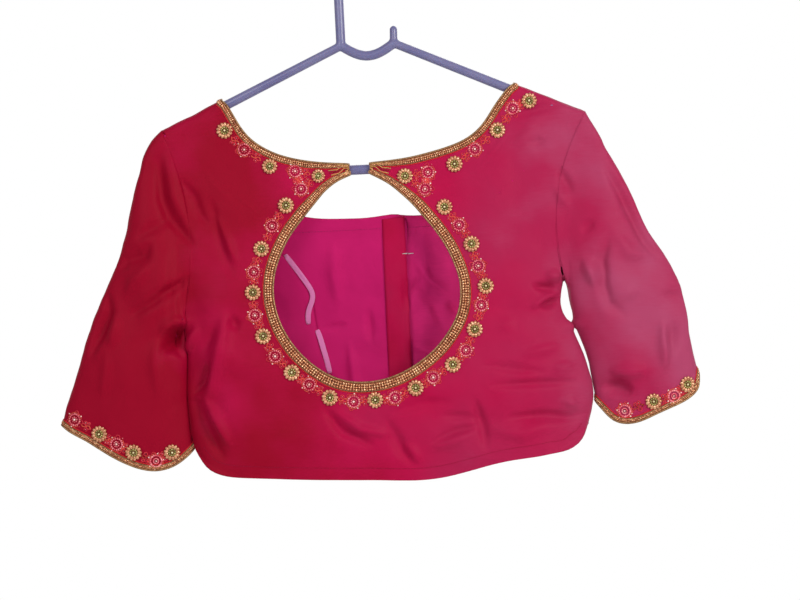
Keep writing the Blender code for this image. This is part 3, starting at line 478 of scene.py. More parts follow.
def cloth(name, skin, thickness, finishes, creases, inside=False, nudges=(), fittings=0):
    """Cloth piece from a side of its solid: rounded, cut fine, creased, then given a thickness.

    Creases holds a table for cloth that looks to the back and one for cloth that looks to the
    front.  An inside layer moves with the outer one that it lies on, so layers stay together.
    Nudges move strips of the cloth sideways or forwards, and fittings are for round_off.
    """
    made = piece(name, skin, finishes)
    round_off(made, fittings)
    fine = bmesh.new()
    fine.from_mesh(made.data)
    for _ in range(HALVINGS):
        long = [edge for edge in fine.edges if edge.calc_length() > CLOTH_STEP * MM]
        bmesh.ops.subdivide_edges(fine, edges=long, cuts=1, use_grid_fill=True)
    inner = [vert for vert in fine.verts if not vert.is_boundary]
    for _ in range(SMOOTHINGS):
        bmesh.ops.smooth_vert(fine, verts=inner, factor=0.5, use_axis_x=True, use_axis_y=True,
                              use_axis_z=True)
    fine.normal_update()
    spots = np.array([vert.co for vert in fine.verts]) / MM
    back, front = (crease_height(spots[:, 0], -spots[:, 2], table) for table in creases)
    outward = -1 if inside else 1
    for vert, back_rise, front_rise in zip(fine.verts, back, front):
        lean = min(max((abs(vert.normal.y) - EDGE_ON) / CREASE_FADE, 0), 1)
        rise = back_rise if vert.normal.y * outward < 0 else front_rise
        rise = rise * lean * lean * (3 - 2 * lean) + uneven(*(vert.co / MM))
        vert.co += vert.normal * (rise * outward * MM)
    for half_width, sideways, forwards, *line in nudges:
        shares = crease_height(spots[:, 0], -spots[:, 2], [(half_width, 1 / CREASE_GAIN, *line)])
        for vert, share in zip(fine.verts, shares):
            vert.co += Vector((sideways, forwards, 0)) * (share * MM)
    fine.to_mesh(made.data)
    fine.normal_update()
    shown[name] = fine
    walled = made.modifiers.new("walled", "SOLIDIFY")
    walled.thickness = thickness * MM
    walled.offset = -1
    walled.material_offset = len(finishes) - 1
    settle(made)
    made.data.polygons.foreach_set("use_smooth", [True] * len(made.data.polygons))
    return made


def silk(name, deep, plain, mottle_and_painted_light, pale, rough=0.5, painted_light_slope=0.0):
    """Plain-woven silk: uneven dye, slubs, a fine weave, and painted light paling it along x."""
    material, shader, add, join = nodes_of(name)
    place = add("ShaderNodeTexCoord").outputs["Object"]
    cloud = add("ShaderNodeTexNoise", Scale=9.0, Detail=3.0, Roughness=0.5)
    join(place, cloud.inputs["Vector"])
    slub_lie = add("ShaderNodeMapping", Scale=(90.0, 90.0, 700.0))
    slub = add("ShaderNodeTexNoise", Scale=1.0, Detail=2.0)
    join(place, slub_lie.inputs["Vector"])
    join(slub_lie.outputs["Vector"], slub.inputs["Vector"])
    sides = add("ShaderNodeSeparateXYZ")
    join(place, sides.inputs["Vector"])
    shade = None
    # Painted light: the colour pales along x, towards the key light; slubs and clouds are dye.
    for weight, level in ((painted_light_slope, sides.outputs["X"]), (0.06, slub.outputs["Fac"]),
                          (0.65, cloud.outputs["Fac"])):
        mixed = add("ShaderNodeMath", operation="MULTIPLY_ADD")
        mixed.inputs[1].default_value = weight
        mixed.inputs[2].default_value = SHADE_MIDDLE
        join(level, mixed.inputs[0])
        if shade:
            join(shade, mixed.inputs[2])
        shade = mixed.outputs["Value"]
    join(ramp(add, join, shade, [(0.30, deep), (0.50, plain), (0.72, mottle_and_painted_light), (0.90, pale)]),
         shader.inputs["Base Color"])
    shader.inputs["Roughness"].default_value = rough
    shader.inputs["Specular IOR Level"].default_value = 0.06
    shader.inputs["Sheen Weight"].default_value = 0.02
    shader.inputs["Sheen Roughness"].default_value = 0.35
    shader.inputs["Sheen Tint"].default_value = (1.0, 0.45, 0.62, 1.0)
    heights = []
    for turn in ("X", "Z"):
        thread = add("ShaderNodeTexWave", Scale=WEAVE_SCALE, Distortion=1.2, Detail=1.0)
        thread.inputs["Detail Scale"].default_value = 0.4
        thread.bands_direction = turn
        join(place, thread.inputs["Vector"])
        heights.append(thread.outputs["Fac"])
    weave = add("ShaderNodeMath", operation="ADD")
    join(heights[0], weave.inputs[0])
    join(heights[1], weave.inputs[1])
    fine = add("ShaderNodeBump", Strength=0.35, Distance=0.00012)
    join(weave.outputs["Value"], fine.inputs["Height"])
    ripple = add("ShaderNodeTexNoise", Scale=120.0, Detail=3.0)
    join(place, ripple.inputs["Vector"])
    soft = add("ShaderNodeBump", Strength=0.25, Distance=0.0006)
    join(ripple.outputs["Fac"], soft.inputs["Height"])
    join(fine.outputs["Normal"], soft.inputs["Normal"])
    join(soft.outputs["Normal"], shader.inputs["Normal"])
    return material


# The crimson is painted lighter towards the right, ending in a painted rose sheen.
CRIMSON_SILK = silk("crimson_silk", CRIMSON_DEEP, CRIMSON, CRIMSON_MOTTLE_AND_PAINTED_LIGHT, ROSE_PAINTED_SHEEN, painted_light_slope=1.25)
LINING_CLOTH = silk("lining_cloth", MAGENTA_DEEP, MAGENTA, MAGENTA, MAGENTA_PALE, rough=0.6)

# Where the sleeves hang against the body: half width, sideways, forwards, and across and drop
# along each strip of cloth that is moved.
BODY_NUDGES = [(12, -2.3, 0, (-197, 336), (-195, 396), (-197, 440), (-194, 506)),
               (10, 4.5, 0, (188, 383), (190, 394))]
back = cloth("back_panel", shown_skin("back", SHELL, leaning_back), SHELL,
             [CRIMSON_SILK, LINING_CLOTH], (BACK_CREASES, BACK_CREASES),
             nudges=BODY_NUDGES)
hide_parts("back")


# ---------------------------------------------------------------- fronts
# Each side of the front is two cuts joined by a princess seam that shapes the cup.  The right
# centre front laps over the left one, and both are hooked together down the middle.

# Creases as in the back's table.
FRONT_CREASES = [
    # seen through the keyhole
    (8, -1.5, (-45, 296), (-46, 322), (-44, 352)),
    (18, -1.6, (10, 280), (11, 330), (10, 374)),
    (8, -1.0, (46, 282), (47, 312), (45, 350)),
    (5, 1.4, (-13, 364), (-12, 396)),
    (4, 1.6, (26, 332), (26, 368)),
    (4, 1.5, (40, 333), (29, 354)),
    (4, 1.4, (28, 396), (28, 420)),
    (4, 1.8, (68, 361), (82, 374)),
    (3, 1.2, (-60, 379.5), (-48, 379), (-36, 377.5)),
    # from the left armpit over the cup
    (8, 2.2, (-182, 350), (-152, 360), (-122, 378)),
    (6, -2.4, (-186, 366), (-158, 380), (-132, 402)),
    (9, 1.8, (-182, 398), (-160, 412), (-142, 438)),
    (6, -2.0, (-168, 300), (-151, 318), (-139, 344)),
    (7, -1.6, (-152, 230), (-147, 266), (-150, 298)),
    (8, 1.8, (-169, 214), (-167, 250), (-158, 286)),
    (6, -1.5, (-178, 236), (-177, 262), (-170, 288)),
    # under the left cup, down to the hem
    (7, -2.2, (-78, 420), (-86, 452), (-92, 500)),
    (8, 1.8, (-58, 424), (-54, 462), (-60, 508)),
    (6, -1.8, (-34, 398), (-31, 436), (-35, 472)),
    (9, 1.6, (-118, 436), (-126, 474), (-128, 508)),
    (6, -2.0, (-152, 452), (-128, 466), (-100, 472)),
    (5, -1.6, (-172, 486), (-141, 492), (-112, 488)),
    (6, 1.4, (-172, 470), (-146, 476), (-120, 480)),
    # beside the hooks
    (5, -1.4, (38, 316), (52, 336), (70, 350)),
    (6, 1.3, (36, 344), (54, 362), (62, 384)),
    (5, -1.8, (34, 404), (54, 412), (76, 410)),
    (6, 1.6, (34, 442), (60, 452), (84, 448)),
    (5, -1.6, (32, 478), (56, 484), (92, 480)),
    (7, -1.4, (-6, 434), (-14, 462), (-10, 502)),
    # from the right armpit over the cup
    (8, 2.4, (166, 334), (142, 348), (120, 366)),
    (6, -2.2, (172, 352), (148, 366), (128, 390)),
    (8, 1.8, (170, 384), (152, 398), (144, 424)),
    (6, -1.8, (158, 286), (146, 306), (134, 330)),
    (7, -1.6, (148, 216), (146, 250), (150, 284)),
    (8, 1.6, (170, 206), (167, 238), (160, 268)),
    # under the right cup, down to the hem
    (7, -2.2, (104, 424), (112, 458), (114, 500)),
    (8, 1.8, (86, 430), (84, 466), (90, 506)),
    (9, 1.6, (140, 438), (148, 470), (150, 502)),
    (6, -2.0, (172, 446), (150, 456), (124, 458)),
    (6, 1.5, (170, 474), (146, 480), (118, 476)),
    # fronts of the sleeves: the left one, then the right one
    (8, -2.6, (-224, 204), (-222, 246), (-212, 284)),
    (7, 2.0, (-208, 210), (-206, 252), (-196, 290)),
    (7, -2.6, (-200, 320), (-222, 336), (-248, 344)),
    (8, 2.2, (-204, 340), (-226, 356), (-252, 366)),
    (6, -2.2, (-208, 372), (-232, 384), (-256, 388)),
    (7, -2.0, (-262, 312), (-268, 350), (-282, 392)),
    (9, 1.8, (-246, 392), (-254, 428), (-262, 462)),
    (7, -1.8, (-226, 410), (-222, 446), (-226, 478)),
    (8, -2.6, (232, 214), (246, 252), (250, 288)),
    (7, 2.0, (214, 206), (224, 246), (226, 282)),
    (7, -2.8, (196, 312), (218, 322), (244, 322)),
    (8, 2.4, (198, 336), (222, 346), (248, 346)),
    (6, -2.2, (206, 366), (228, 372), (254, 368)),
    (7, -2.0, (266, 318), (276, 352), (280, 388)),
    (9, 1.8, (246, 376), (250, 410), (252, 440)),
    (7, -1.8, (228, 396), (232, 426), (236, 452)),
]

# The right side front's lower corner is drawn in, as the hem turns under there.
FRONT_NUDGES = [(5, -1.2, 0, (205, 487), (203, 491))]
for side in ("left", "right"):
    for cut in ("centre", "side"):
        front = cloth(f"{cut}_front_{side}_panel",
                      shown_skin(f"{cut}_front_{side}", SHELL, leaning_forward), SHELL,
                      [CRIMSON_SILK, LINING_CLOTH],
                      (FRONT_CREASES, FRONT_CREASES), nudges=BODY_NUDGES + FRONT_NUDGES)
        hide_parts(f"{cut}_front_{side}")


# ---------------------------------------------------------------- linings
# The fronts are lined in magenta cloth, sewn in at their edges.  A crimson facing covers the
# inside of the left front along its free edge, which lies under the right one.

LINING = 1.0
# Painted light and shade: the right front's lining is a brighter copy of the lining cloth,
# painted darker beside the opening, and paler towards the side.
LINING_PAINTED_LIGHT = silk("lining_cloth_painted_light", (0.45, 0.011, 0.115), (0.49, 0.012, 0.12),
                     (0.56, 0.015, 0.14), (0.92, 0.034, 0.24), rough=0.6, painted_light_slope=6.0)
for node, finish in (("lining_centre_left", LINING_CLOTH), ("lining_side_left", LINING_CLOTH),
                     ("lining_centre_right", LINING_PAINTED_LIGHT)):
    lining = cloth(f"{node}_panel", shown_skin(node, LINING, leaning_back), LINING,
                   [finish], (FRONT_CREASES, FRONT_CREASES), inside=True,
                   nudges=BODY_NUDGES)
    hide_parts(node)

FACING_LIFT = 5.0         # of its top corner away from the edge, so that its top is level
FACING_TOP = 279.0        # what lies above this drop is lifted
FACING_INNER, FACING_OUTER = 6.0, 26.0   # across: lifted in full, and not at all
facing_skin = shown_skin("placket_facing", LINING, leaning_back)
for vert in facing_skin.verts:
    if -vert.co.z / MM < FACING_TOP:
        share = (FACING_OUTER - vert.co.x / MM) / (FACING_OUTER - FACING_INNER)
        vert.co.z += FACING_LIFT * MM * min(max(share, 0), 1)
facing = cloth("placket_facing_panel", facing_skin, LINING,
               [CRIMSON_SILK], (FRONT_CREASES, FRONT_CREASES), inside=True)
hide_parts("placket_facing")


# ---------------------------------------------------------------- sleeves
# Each sleeve is one cut of the crimson silk with its lining, sewn to a tube along the underarm
# and set into the armhole.

def area_of(side):
    """Area of a side of the cloth: a tube's outside is larger than its inside."""
    return sum(face.calc_area() for face in side)


# The left sleeve's first nudge makes the hollow under the arm.
SLEEVE_NUDGES = {
    "left": [(9, 0, 14, (-218, 394), (-207, 383), (-199, 370)),
             (12, 2.3, 0, (-198, 336), (-197, 396), (-199, 440), (-195, 514))],
    "right": [(10, -4.5, 0, (191, 383), (193, 394)),
              (9, -1.2, 0, (207, 428), (211, 446), (212, 478))]}
for side in ("left", "right"):
    sleeve = cloth(f"sleeve_{side}_tube", shown_skin(f"sleeve_{side}", SHELL, area_of), SHELL,
                   [CRIMSON_SILK, LINING_CLOTH], (BACK_CREASES, FRONT_CREASES),
                   nudges=SLEEVE_NUDGES[side], fittings=2)
    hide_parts(f"sleeve_{side}")


# ---------------------------------------------------------------- beaded edges
# Round the keyhole, along the neck and round each cuff, a bronze cord is whipped to the very
# edge, with rows of small gold glass beads couched side by side inside it on brown thread.

BRONZE = (0.31, 0.16, 0.065)
GOLD = (0.72, 0.32, 0.15)
BEAD_LIFT = 0.75          # a bead's middle above the cloth, in bead radii
BEAD_SPREAD = 1.08        # beads swell a little past their share of the width
BEAD_PITCH = 1.9          # from bead to bead in a row, in bead radii
EDGE_CORD = 1.2           # width that the cord takes at the very edge
INNER_CORD = 0.8
EDGE_CORD_RADIUS, EDGE_CORD_OUT, EDGE_CORD_LIFT = 1.0, 0.15, 0.45   # out: past the edge
INNER_CORD_RADIUS, INNER_CORD_IN, INNER_CORD_LIFT = 0.55, 0.4, 0.5  # in: from the strip's side
RED_RADIUS, RED_OUT, RED_LIFT = 0.5, 0.9, 0.3   # the red thread, out: from the strip's side
STRIP_OUT = 0.3           # of the ground strip past the edge
STRIP_LIFT = 0.25         # of the ground strip off the cloth
STRIP_WALL = 0.35
NECK_SPANS = {"left": (-151, -23.6), "right": (-4.5, 147.5)}   # across
KEYHOLE_MIDDLE = (-12.5, 339.0)
KEYHOLE_REACH = 117.0     # from its middle to past its edge
KEYHOLE_TOP = 218.0
NECK_BOTTOM = 218.5
CUFF_TOP = 400.0
CUFF_BAND = 4.6           # width of the cuffs' beading
EDGE_STEP = 1.6           # between the points that an edge is followed by
EVEN_REACH = 3            # points on each side that a point's directions are averaged with


def thread(name, deep, plain):
    """Stranded embroidery thread."""
    return grained(name, 1300.0, 2.0, [(0.35, deep), (0.65, plain)],
                   {"Roughness": 0.55, "Specular IOR Level": 0.12}, relief=(0.5, 0.0002))


# Small gold-lined glass beads, each a slightly different shade, and twisted metal thread.
GOLD_BEADS = grained("gold_beads", 420.0, 1.0,
                     [(0.36, (0.44, 0.16, 0.075)), (0.50, GOLD), (0.64, (0.92, 0.58, 0.32))],
                     {"Metallic": 0.72, "Roughness": 0.27, "Coat Weight": 0.5,
                      "Coat Roughness": 0.08})
BRONZE_CORD = grained("bronze_cord", 900.0, 2.0,
                      [(0.35, (0.12, 0.05, 0.02)), (0.5, BRONZE), (0.68, (0.48, 0.28, 0.13))],
                      {"Metallic": 0.55, "Roughness": 0.42}, relief=(0.5, 0.0003))
GROUND_THREAD = thread("ground_thread", (0.20, 0.045, 0.02), (0.38, 0.10, 0.045))
RED_THREAD = thread("red_thread", (0.40, 0.010, 0.014), (0.70, 0.035, 0.035))


def border(skin, wanted):
    """Edges of the cloth's border between wanted points, listed by point."""
    found = {}
    for edge in skin.edges:
        if edge.is_boundary and all(wanted(vert) for vert in edge.verts):
            for vert in edge.verts:
                found.setdefault(vert, []).append(edge)
    return found


def walk(start, edges, passed):
    """Points from a start along edges listed by point, for as long as one isn't passed yet."""
    chain = [start]
    while onward := [edge for edge in edges[chain[-1]] if edge not in passed]:
        passed.add(onward[0])
        chain.append(onward[0].other_vert(chain[-1]))
    return chain


def lengths_along(spots):
    """Length of a line of points up to each of them."""
    lengths = [0.0]
    for start, end in zip(spots, spots[1:]):
        lengths.append(lengths[-1] + (end - start).length)
    return lengths


def stretch_at(lengths, distance, here):
    """The stretch of a line, from here on, that a distance falls in, and its share of it."""
    while here < len(lengths) - 2 and lengths[here + 1] < distance:
        here += 1
    return here, (distance - lengths[here]) / max(lengths[here + 1] - lengths[here], 1e-9)


def edge_frames(skin, wanted, closed=False):
    """Points along an edge of the cloth, each with the ways into the cloth and out of it.

    Wanted picks the edge by across and drop.
    """
    chosen = border(skin, lambda vert: wanted(vert.co.x / MM, -vert.co.z / MM))
    first = next((vert for vert, edges in chosen.items() if len(edges) == 1), None)
    first = next(iter(chosen)) if closed or first is None else first
    chain = walk(first, chosen, set())
    spots = [vert.co.copy() for vert in chain]
    inner = []
    for vert in chain:
        middle = sum((face.calc_center_median() for face in vert.link_faces), Vector())
        inner.append(middle / len(vert.link_faces) - vert.co)
    outs = [vert.normal.copy() for vert in chain]
    lengths = lengths_along(spots)
    steps = max(2, round(lengths[-1] / (EDGE_STEP * MM)))
    frames, here = [], 0
    for step in range(steps if closed else steps + 1):
        here, share = stretch_at(lengths, lengths[-1] * step / steps, here)
        along = (spots[here + 1] - spots[here]).normalized()
        out = outs[here].lerp(outs[here + 1], share).normalized()
        into = inner[here].lerp(inner[here + 1], share)
        side = out.cross(along).normalized()
        frames.append([spots[here].lerp(spots[here + 1], share),
                       side if side.dot(into) > 0 else -side, out])
    return even_out(frames, closed)


def even_out(frames, closed):
    """The same frames with their directions averaged along the edge."""
    count = len(frames)
    result = []
    for i, (spot, *_) in enumerate(frames):
        near = [frames[j % count] if closed else frames[min(max(j, 0), count - 1)]
                for j in range(i - EVEN_REACH, i + EVEN_REACH + 1)]
        into = sum((other[1] for other in near), Vector()).normalized()
        out = sum((other[2] for other in near), Vector()).normalized()
        result.append((spot, into, out))
    return result


def on_cloth(tree, spot, lift):
    """The nearest point of the cloth to a spot, lifted off it by millimetres."""
    place, facing, _, _ = tree.find_nearest(spot)
    return place + facing * (lift * MM)


def beaded_edge(name, skin, frames, widths, rows, node, closed=False):
    """Ground strip, cords, a line of red thread and rows of beads, all along an edge."""
    tree = BVHTree.FromBMesh(skin)
    strip = bmesh.new()
    near_line, far_line = [], []
    for (spot, into, out), width in zip(frames, widths):
        near_line.append(strip.verts.new(spot + out * STRIP_LIFT * MM
                                         - into * STRIP_OUT * MM))
        far_line.append(strip.verts.new(on_cloth(tree, spot + into * width * MM, STRIP_LIFT)))
    count = len(frames)
    for i in range(count if closed else count - 1):
        j = (i + 1) % count
        strip.faces.new([near_line[i], near_line[j], far_line[j], far_line[i]])
    bmesh.ops.recalc_face_normals(strip, faces=strip.faces)
    middle = frames[count // 2]
    if strip.faces[:][min(count // 2, count - 2)].normal.dot(middle[2]) < 0:
        bmesh.ops.reverse_faces(strip, faces=strip.faces)
    ground = piece(name + "_ground", strip, [GROUND_THREAD])
    wall_of = ground.modifiers.new("thickness", "SOLIDIFY")
    wall_of.thickness = STRIP_WALL * MM
    wall_of.offset = 1
    settle(ground)
    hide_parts(node)
    edge_line = [spot + out * EDGE_CORD_LIFT * MM - into * EDGE_CORD_OUT * MM
                 for spot, into, out in frames]
    cords = wire(edge_line, EDGE_CORD_RADIUS, closed=closed, facets=8)
    inner_line = [on_cloth(tree, spot + into * (width - INNER_CORD_IN) * MM, INNER_CORD_LIFT)
                  for (spot, into, _), width in zip(frames, widths)]
    add_to(cords, wire(inner_line, INNER_CORD_RADIUS, closed=closed, facets=6))
    piece(name + "_cord", cords, [BRONZE_CORD])
    red_line = [on_cloth(tree, spot + into * (width + RED_OUT) * MM, RED_LIFT)
                for (spot, into, _), width in zip(frames, widths)]
    piece(name + "_thread", wire(red_line, RED_RADIUS, closed=closed), [RED_THREAD])
    all_beads = bmesh.new()
    places = frames + frames[:1] if closed else frames
    lengths = lengths_along([spot for spot, _, _ in places])
    for row in range(rows):
        one_row = bmesh.new()
        distance, here = 0.0, 0
        while distance < lengths[-1]:
            here, share = stretch_at(lengths, distance, here)
            start, end = places[here], places[here + 1]
            width = widths[here]
            room = width - EDGE_CORD - INNER_CORD
            radius = room / rows / 2 * BEAD_SPREAD
            inset = EDGE_CORD + room * (row + 0.5) / rows
            spot = start[0].lerp(end[0], share) + start[1].lerp(end[1], share) * (inset * MM)
            spot = on_cloth(tree, spot, radius * BEAD_LIFT + 0.3)
            bmesh.ops.create_uvsphere(one_row, u_segments=6, v_segments=4, radius=radius * MM,
                                      matrix=Matrix.Translation(spot))
            distance += radius * BEAD_PITCH * MM
        add_to(all_beads, one_row)
    piece(name + "_beads", all_beads, [GOLD_BEADS])


def keyhole_side(across, drop):
    """Whether a point of the back's edge is on the keyhole."""
    away = math.hypot(across - KEYHOLE_MIDDLE[0], drop - KEYHOLE_MIDDLE[1])
    return away < KEYHOLE_REACH and drop > KEYHOLE_TOP


back_skin = shown["back_panel"]
keyhole_frames = edge_frames(back_skin, keyhole_side)
neck_frames = {}
for side, (first, last) in NECK_SPANS.items():
    neck_frames[side] = edge_frames(
        back_skin, lambda across, drop: first < across < last and drop < NECK_BOTTOM)


def band_widths(frames, others, least, growth, most):
    """Width of the beading at each point, narrower where the cloth runs to a tip."""
    widths = []
    for spot, _, _ in frames:
        band = min((spot - other[0]).length for other in others) / MM
        widths.append(min(least + growth * band, most))
    return widths


neck_all = neck_frames["left"] + neck_frames["right"]
beaded_edge("keyhole_edge", back_skin, keyhole_frames,
            band_widths(keyhole_frames, neck_all, least=3.6, growth=0.11, most=9.3), 3,
            "keyhole_beading")
for side in ("left", "right"):
    beaded_edge(f"neck_edge_{side}", back_skin, neck_frames[side],
                band_widths(neck_frames[side], keyhole_frames, least=2.8, growth=0.10, most=6.0),
                2, f"neck_beading_{side}")
    cuff_frames = edge_frames(shown[f"sleeve_{side}_tube"],
                              lambda across, drop: drop > CUFF_TOP, closed=True)
    beaded_edge(f"cuff_edge_{side}", shown[f"sleeve_{side}_tube"], cuff_frames,
                [CUFF_BAND] * len(cuff_frames), 2, f"cuff_beading_{side}", closed=True)


# ---------------------------------------------------------------- rosettes
# Raised flowers of pale gold beads, each sewn on by itself: a padded disc, a ring of long beads
# for petals, a ring of small olive ones and one pale bead in the middle.

ROSETTE_RADIUS = 7.8      # of the rosette that the petals' sizes are given for
ROSETTE_SPREAD = 1.16     # beads stand out past the solid's scallops
PETALS, PETAL_RING = 13, 0.70   # number, and the radius of their ring in rosette radii
PETAL_LENGTH, PETAL_WIDTH, PETAL_HEIGHT = 2.3, 1.55, 1.2   # half lengths
OLIVES, OLIVE_RING = 9, 0.36
OLIVE_BEAD = (1.05, 0.95, 0.9)
PADDING_RADIUS = 0.86     # in rosette radii
PADDING_HEIGHT = 0.75
CENTRE_BEAD = (1.15, 1.15, 1.0)
PALE_GOLD = (0.58, 0.25, 0.115)
OLIVE = (0.36, 0.33, 0.09)


def glass(name, dark, plain, light, metal):
    """Small beads that vary in shade from one to the next."""
    return grained(name, 300.0, 1.0, [(0.32, dark), (0.5, plain), (0.68, light)],
                   {"Metallic": metal, "Roughness": 0.3, "Coat Weight": 0.4,
                    "Coat Roughness": 0.1})


ROSETTE_FINISHES = [
    glass("petal_beads", (0.42, 0.16, 0.075), PALE_GOLD, (0.72, 0.40, 0.22), 0.35),
    glass("olive_beads", (0.20, 0.18, 0.04), OLIVE, (0.60, 0.56, 0.18), 0.3),
    thread("rosette_padding", (0.09, 0.035, 0.012), (0.20, 0.09, 0.03)),
    glass("pale_bead", (0.70, 0.62, 0.30), (0.80, 0.72, 0.38), (0.90, 0.84, 0.55), 0.2)]


def bead(shape, place, sizes, rounds=6, layers=4):
    """A bead whose half lengths are sizes, in millimetres, in the place that a matrix gives."""
    stretch = Matrix.Diagonal((*(size * MM for size in sizes), 1))
    bmesh.ops.create_uvsphere(shape, u_segments=rounds, v_segments=layers, radius=1,
                              matrix=place @ stretch)


def seat(tree, middle):
    """Matrix of a place on the cloth: x and y lie along the cloth, and z points out of it."""
    place, out, _, _ = tree.find_nearest(middle)
    up = (Vector((0, 0, 1)) - out * out.z).normalized()
    made = Matrix((up.cross(out), up, out)).transposed().to_4x4()
    made.translation = place
    return made


def ring(shape, place, tree, count, radius, sizes, lift, start=0.0, rounds=6, layers=4):
    """Beads in a ring round a place, each pointing away from its middle."""
    for number in range(count):
        turn = Matrix.Rotation(start + number * math.tau / count, 4, "Z")
        spot = place @ turn @ Vector((radius * MM, 0, 0))
        turned = (place @ turn).to_3x3().to_4x4()
        turned.translation = on_cloth(tree, spot, lift)
        bead(shape, turned, sizes, rounds, layers)


def joined(parts):
    """One bmesh from a list with one for each finish."""
    whole = bmesh.new()
    for number, part in enumerate(parts):
        for face in part.faces:
            face.material_index = number
        add_to(whole, part)
    return whole


def rosette(tree, middle, radius):
    """Bmesh of one rosette."""
    place = seat(tree, middle)
    radius *= ROSETTE_SPREAD
    share = radius / ROSETTE_RADIUS
    parts = [bmesh.new() for _ in ROSETTE_FINISHES]
    petal = (PETAL_LENGTH * share, PETAL_WIDTH * share, PETAL_HEIGHT)
    ring(parts[0], place, tree, PETALS, PETAL_RING * radius, petal, 1.15, rounds=8, layers=5)
    ring(parts[1], place, tree, OLIVES, OLIVE_RING * radius, OLIVE_BEAD, 1.4, start=0.2)
    padding = (PADDING_RADIUS * radius, PADDING_RADIUS * radius, PADDING_HEIGHT)
    bead(parts[2], place @ Matrix.Translation((0, 0, 0.35 * MM)), padding, 20, 6)
    bead(parts[3], place @ Matrix.Translation((0, 0, 2.0 * MM)), CENTRE_BEAD, 8, 5)
    return joined(parts)


back_tree = BVHTree.FromBMesh(back_skin)
sleeve_trees = {side: BVHTree.FromBMesh(shown[f"sleeve_{side}_tube"]) for side in
                ("left", "right")}
rosette_nodes = [(f"rosette_back_{number:02d}", back_tree) for number in range(1, 21)]
rosette_nodes += [(f"rosette_cuff_{side}_{number}", sleeve_trees[side])
                  for side in ("left", "right") for number in range(1, 7)]
rosette_places = {}
for node, tree in rosette_nodes:
    low, high = (Vector(corner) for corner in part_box(node))
    size = sorted(high - low)[-1] / MM / 2
    rosette_places[node] = (low + high) / 2
    flower = piece(f"{node}_beads", rosette(tree, (low + high) / 2, size), ROSETTE_FINISHES)
    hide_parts(node)


# ---------------------------------------------------------------- swirls
# Between the rosettes lie coral swirls, sewn on by hand: two rings of small coral glass beads
# round a peach one, with curls and loops of coral and orange thread that join neighbours.

SWIRL_RADIUS = 6.6
# Number of beads, radius of their ring in swirl radii, half lengths of a bead, and its lift.
SWIRL_RINGS = ((17, 0.86, (1.15, 1.1, 0.8), 0.55), (8, 0.38, (0.85, 0.85, 0.65), 0.6))
PEACH_BEAD = (1.25, 1.25, 1.1)
# Single beads round a swirl: turn, distance and radius.
SPECKS = ((0.4, 7.9, 0.9), (2.3, 8.4, 0.7), (4.2, 7.6, 0.8), (5.3, 8.6, 0.6))
CORAL_UNDER = 0.65        # a single bead smaller than this is coral, and a larger one peach
CURLS = (1.2, 3.3, 5.9)   # turns of the curls round a swirl
# Loops beside a link: share of the way, distance sideways, and radius.
LINK_LOOPS = ((0.40, 3.0, 1.6), (0.50, -2.9, 1.8), (0.52, 3.9, 1.4))
LINK_REACH = 36.0         # motifs further apart than this aren't joined
LINK_RADIUS = 0.58
LINK_START, LINK_RUN = 0.30, 0.36   # shares of the way to the other motif
LINK_BOW = 1.7            # how far a link's threads sway
LINK_STEPS = 8
BACK_SWIRLS = [           # across, drop
    (-128.4, 196.6), (-78.6, 220.7), (-73.5, 238.9), (-104.3, 274.4), (-124.6, 319.5),
    (-125.3, 363.0), (-106.9, 404.5), (-74.4, 434.1), (-31.3, 453.3), (9.9, 451.4),
    (48.8, 433.4), (82.7, 408.1), (100.4, 363.9), (99.4, 324.8), (82.5, 282.9),
    (50.4, 245.2), (54.2, 228.4), (102.3, 207.8), (142.3, 168.8)]
CUFF_SWIRLS = {
    "left": [(-311.9, 458.2), (-270.2, 484.3), (-232.1, 503.3)],
    "right": [(288.5, 464.5), (238.8, 477.0)]}
SWIRL_FINISHES = [
    glass("coral_beads", (0.55, 0.035, 0.060), (0.74, 0.11, 0.15), (0.88, 0.30, 0.31), 0.0),
    glass("peach_beads", (0.85, 0.40, 0.34), (0.95, 0.58, 0.52), (1.0, 0.78, 0.74), 0.0),
    thread("coral_thread", (0.48, 0.014, 0.030), (0.78, 0.062, 0.085)),
    thread("orange_thread", (0.52, 0.045, 0.03), (0.80, 0.14, 0.085))]


def from_side(tree, across, drop, side):
    """The point of the cloth met by looking straight at it from the back or the front."""
    start = at(across, drop, 300 * side)
    return tree.ray_cast(start, Vector((0, -side, 0)))[0] or tree.find_nearest(start)[0]


def curl(place, tree, radius, start, sweep, lift=0.35, wire_radius=0.38, centre=(0, 0)):
    """Bmesh of an arc of thread laid on the cloth."""
    points = []
    for step in range(11):
        turn = start + sweep * step / 10
        spot = place @ (Vector((centre[0] + radius * math.cos(turn),
                                centre[1] + radius * math.sin(turn), 0)) * MM)
        points.append(on_cloth(tree, spot, lift))
    return wire(points, wire_radius, facets=4)


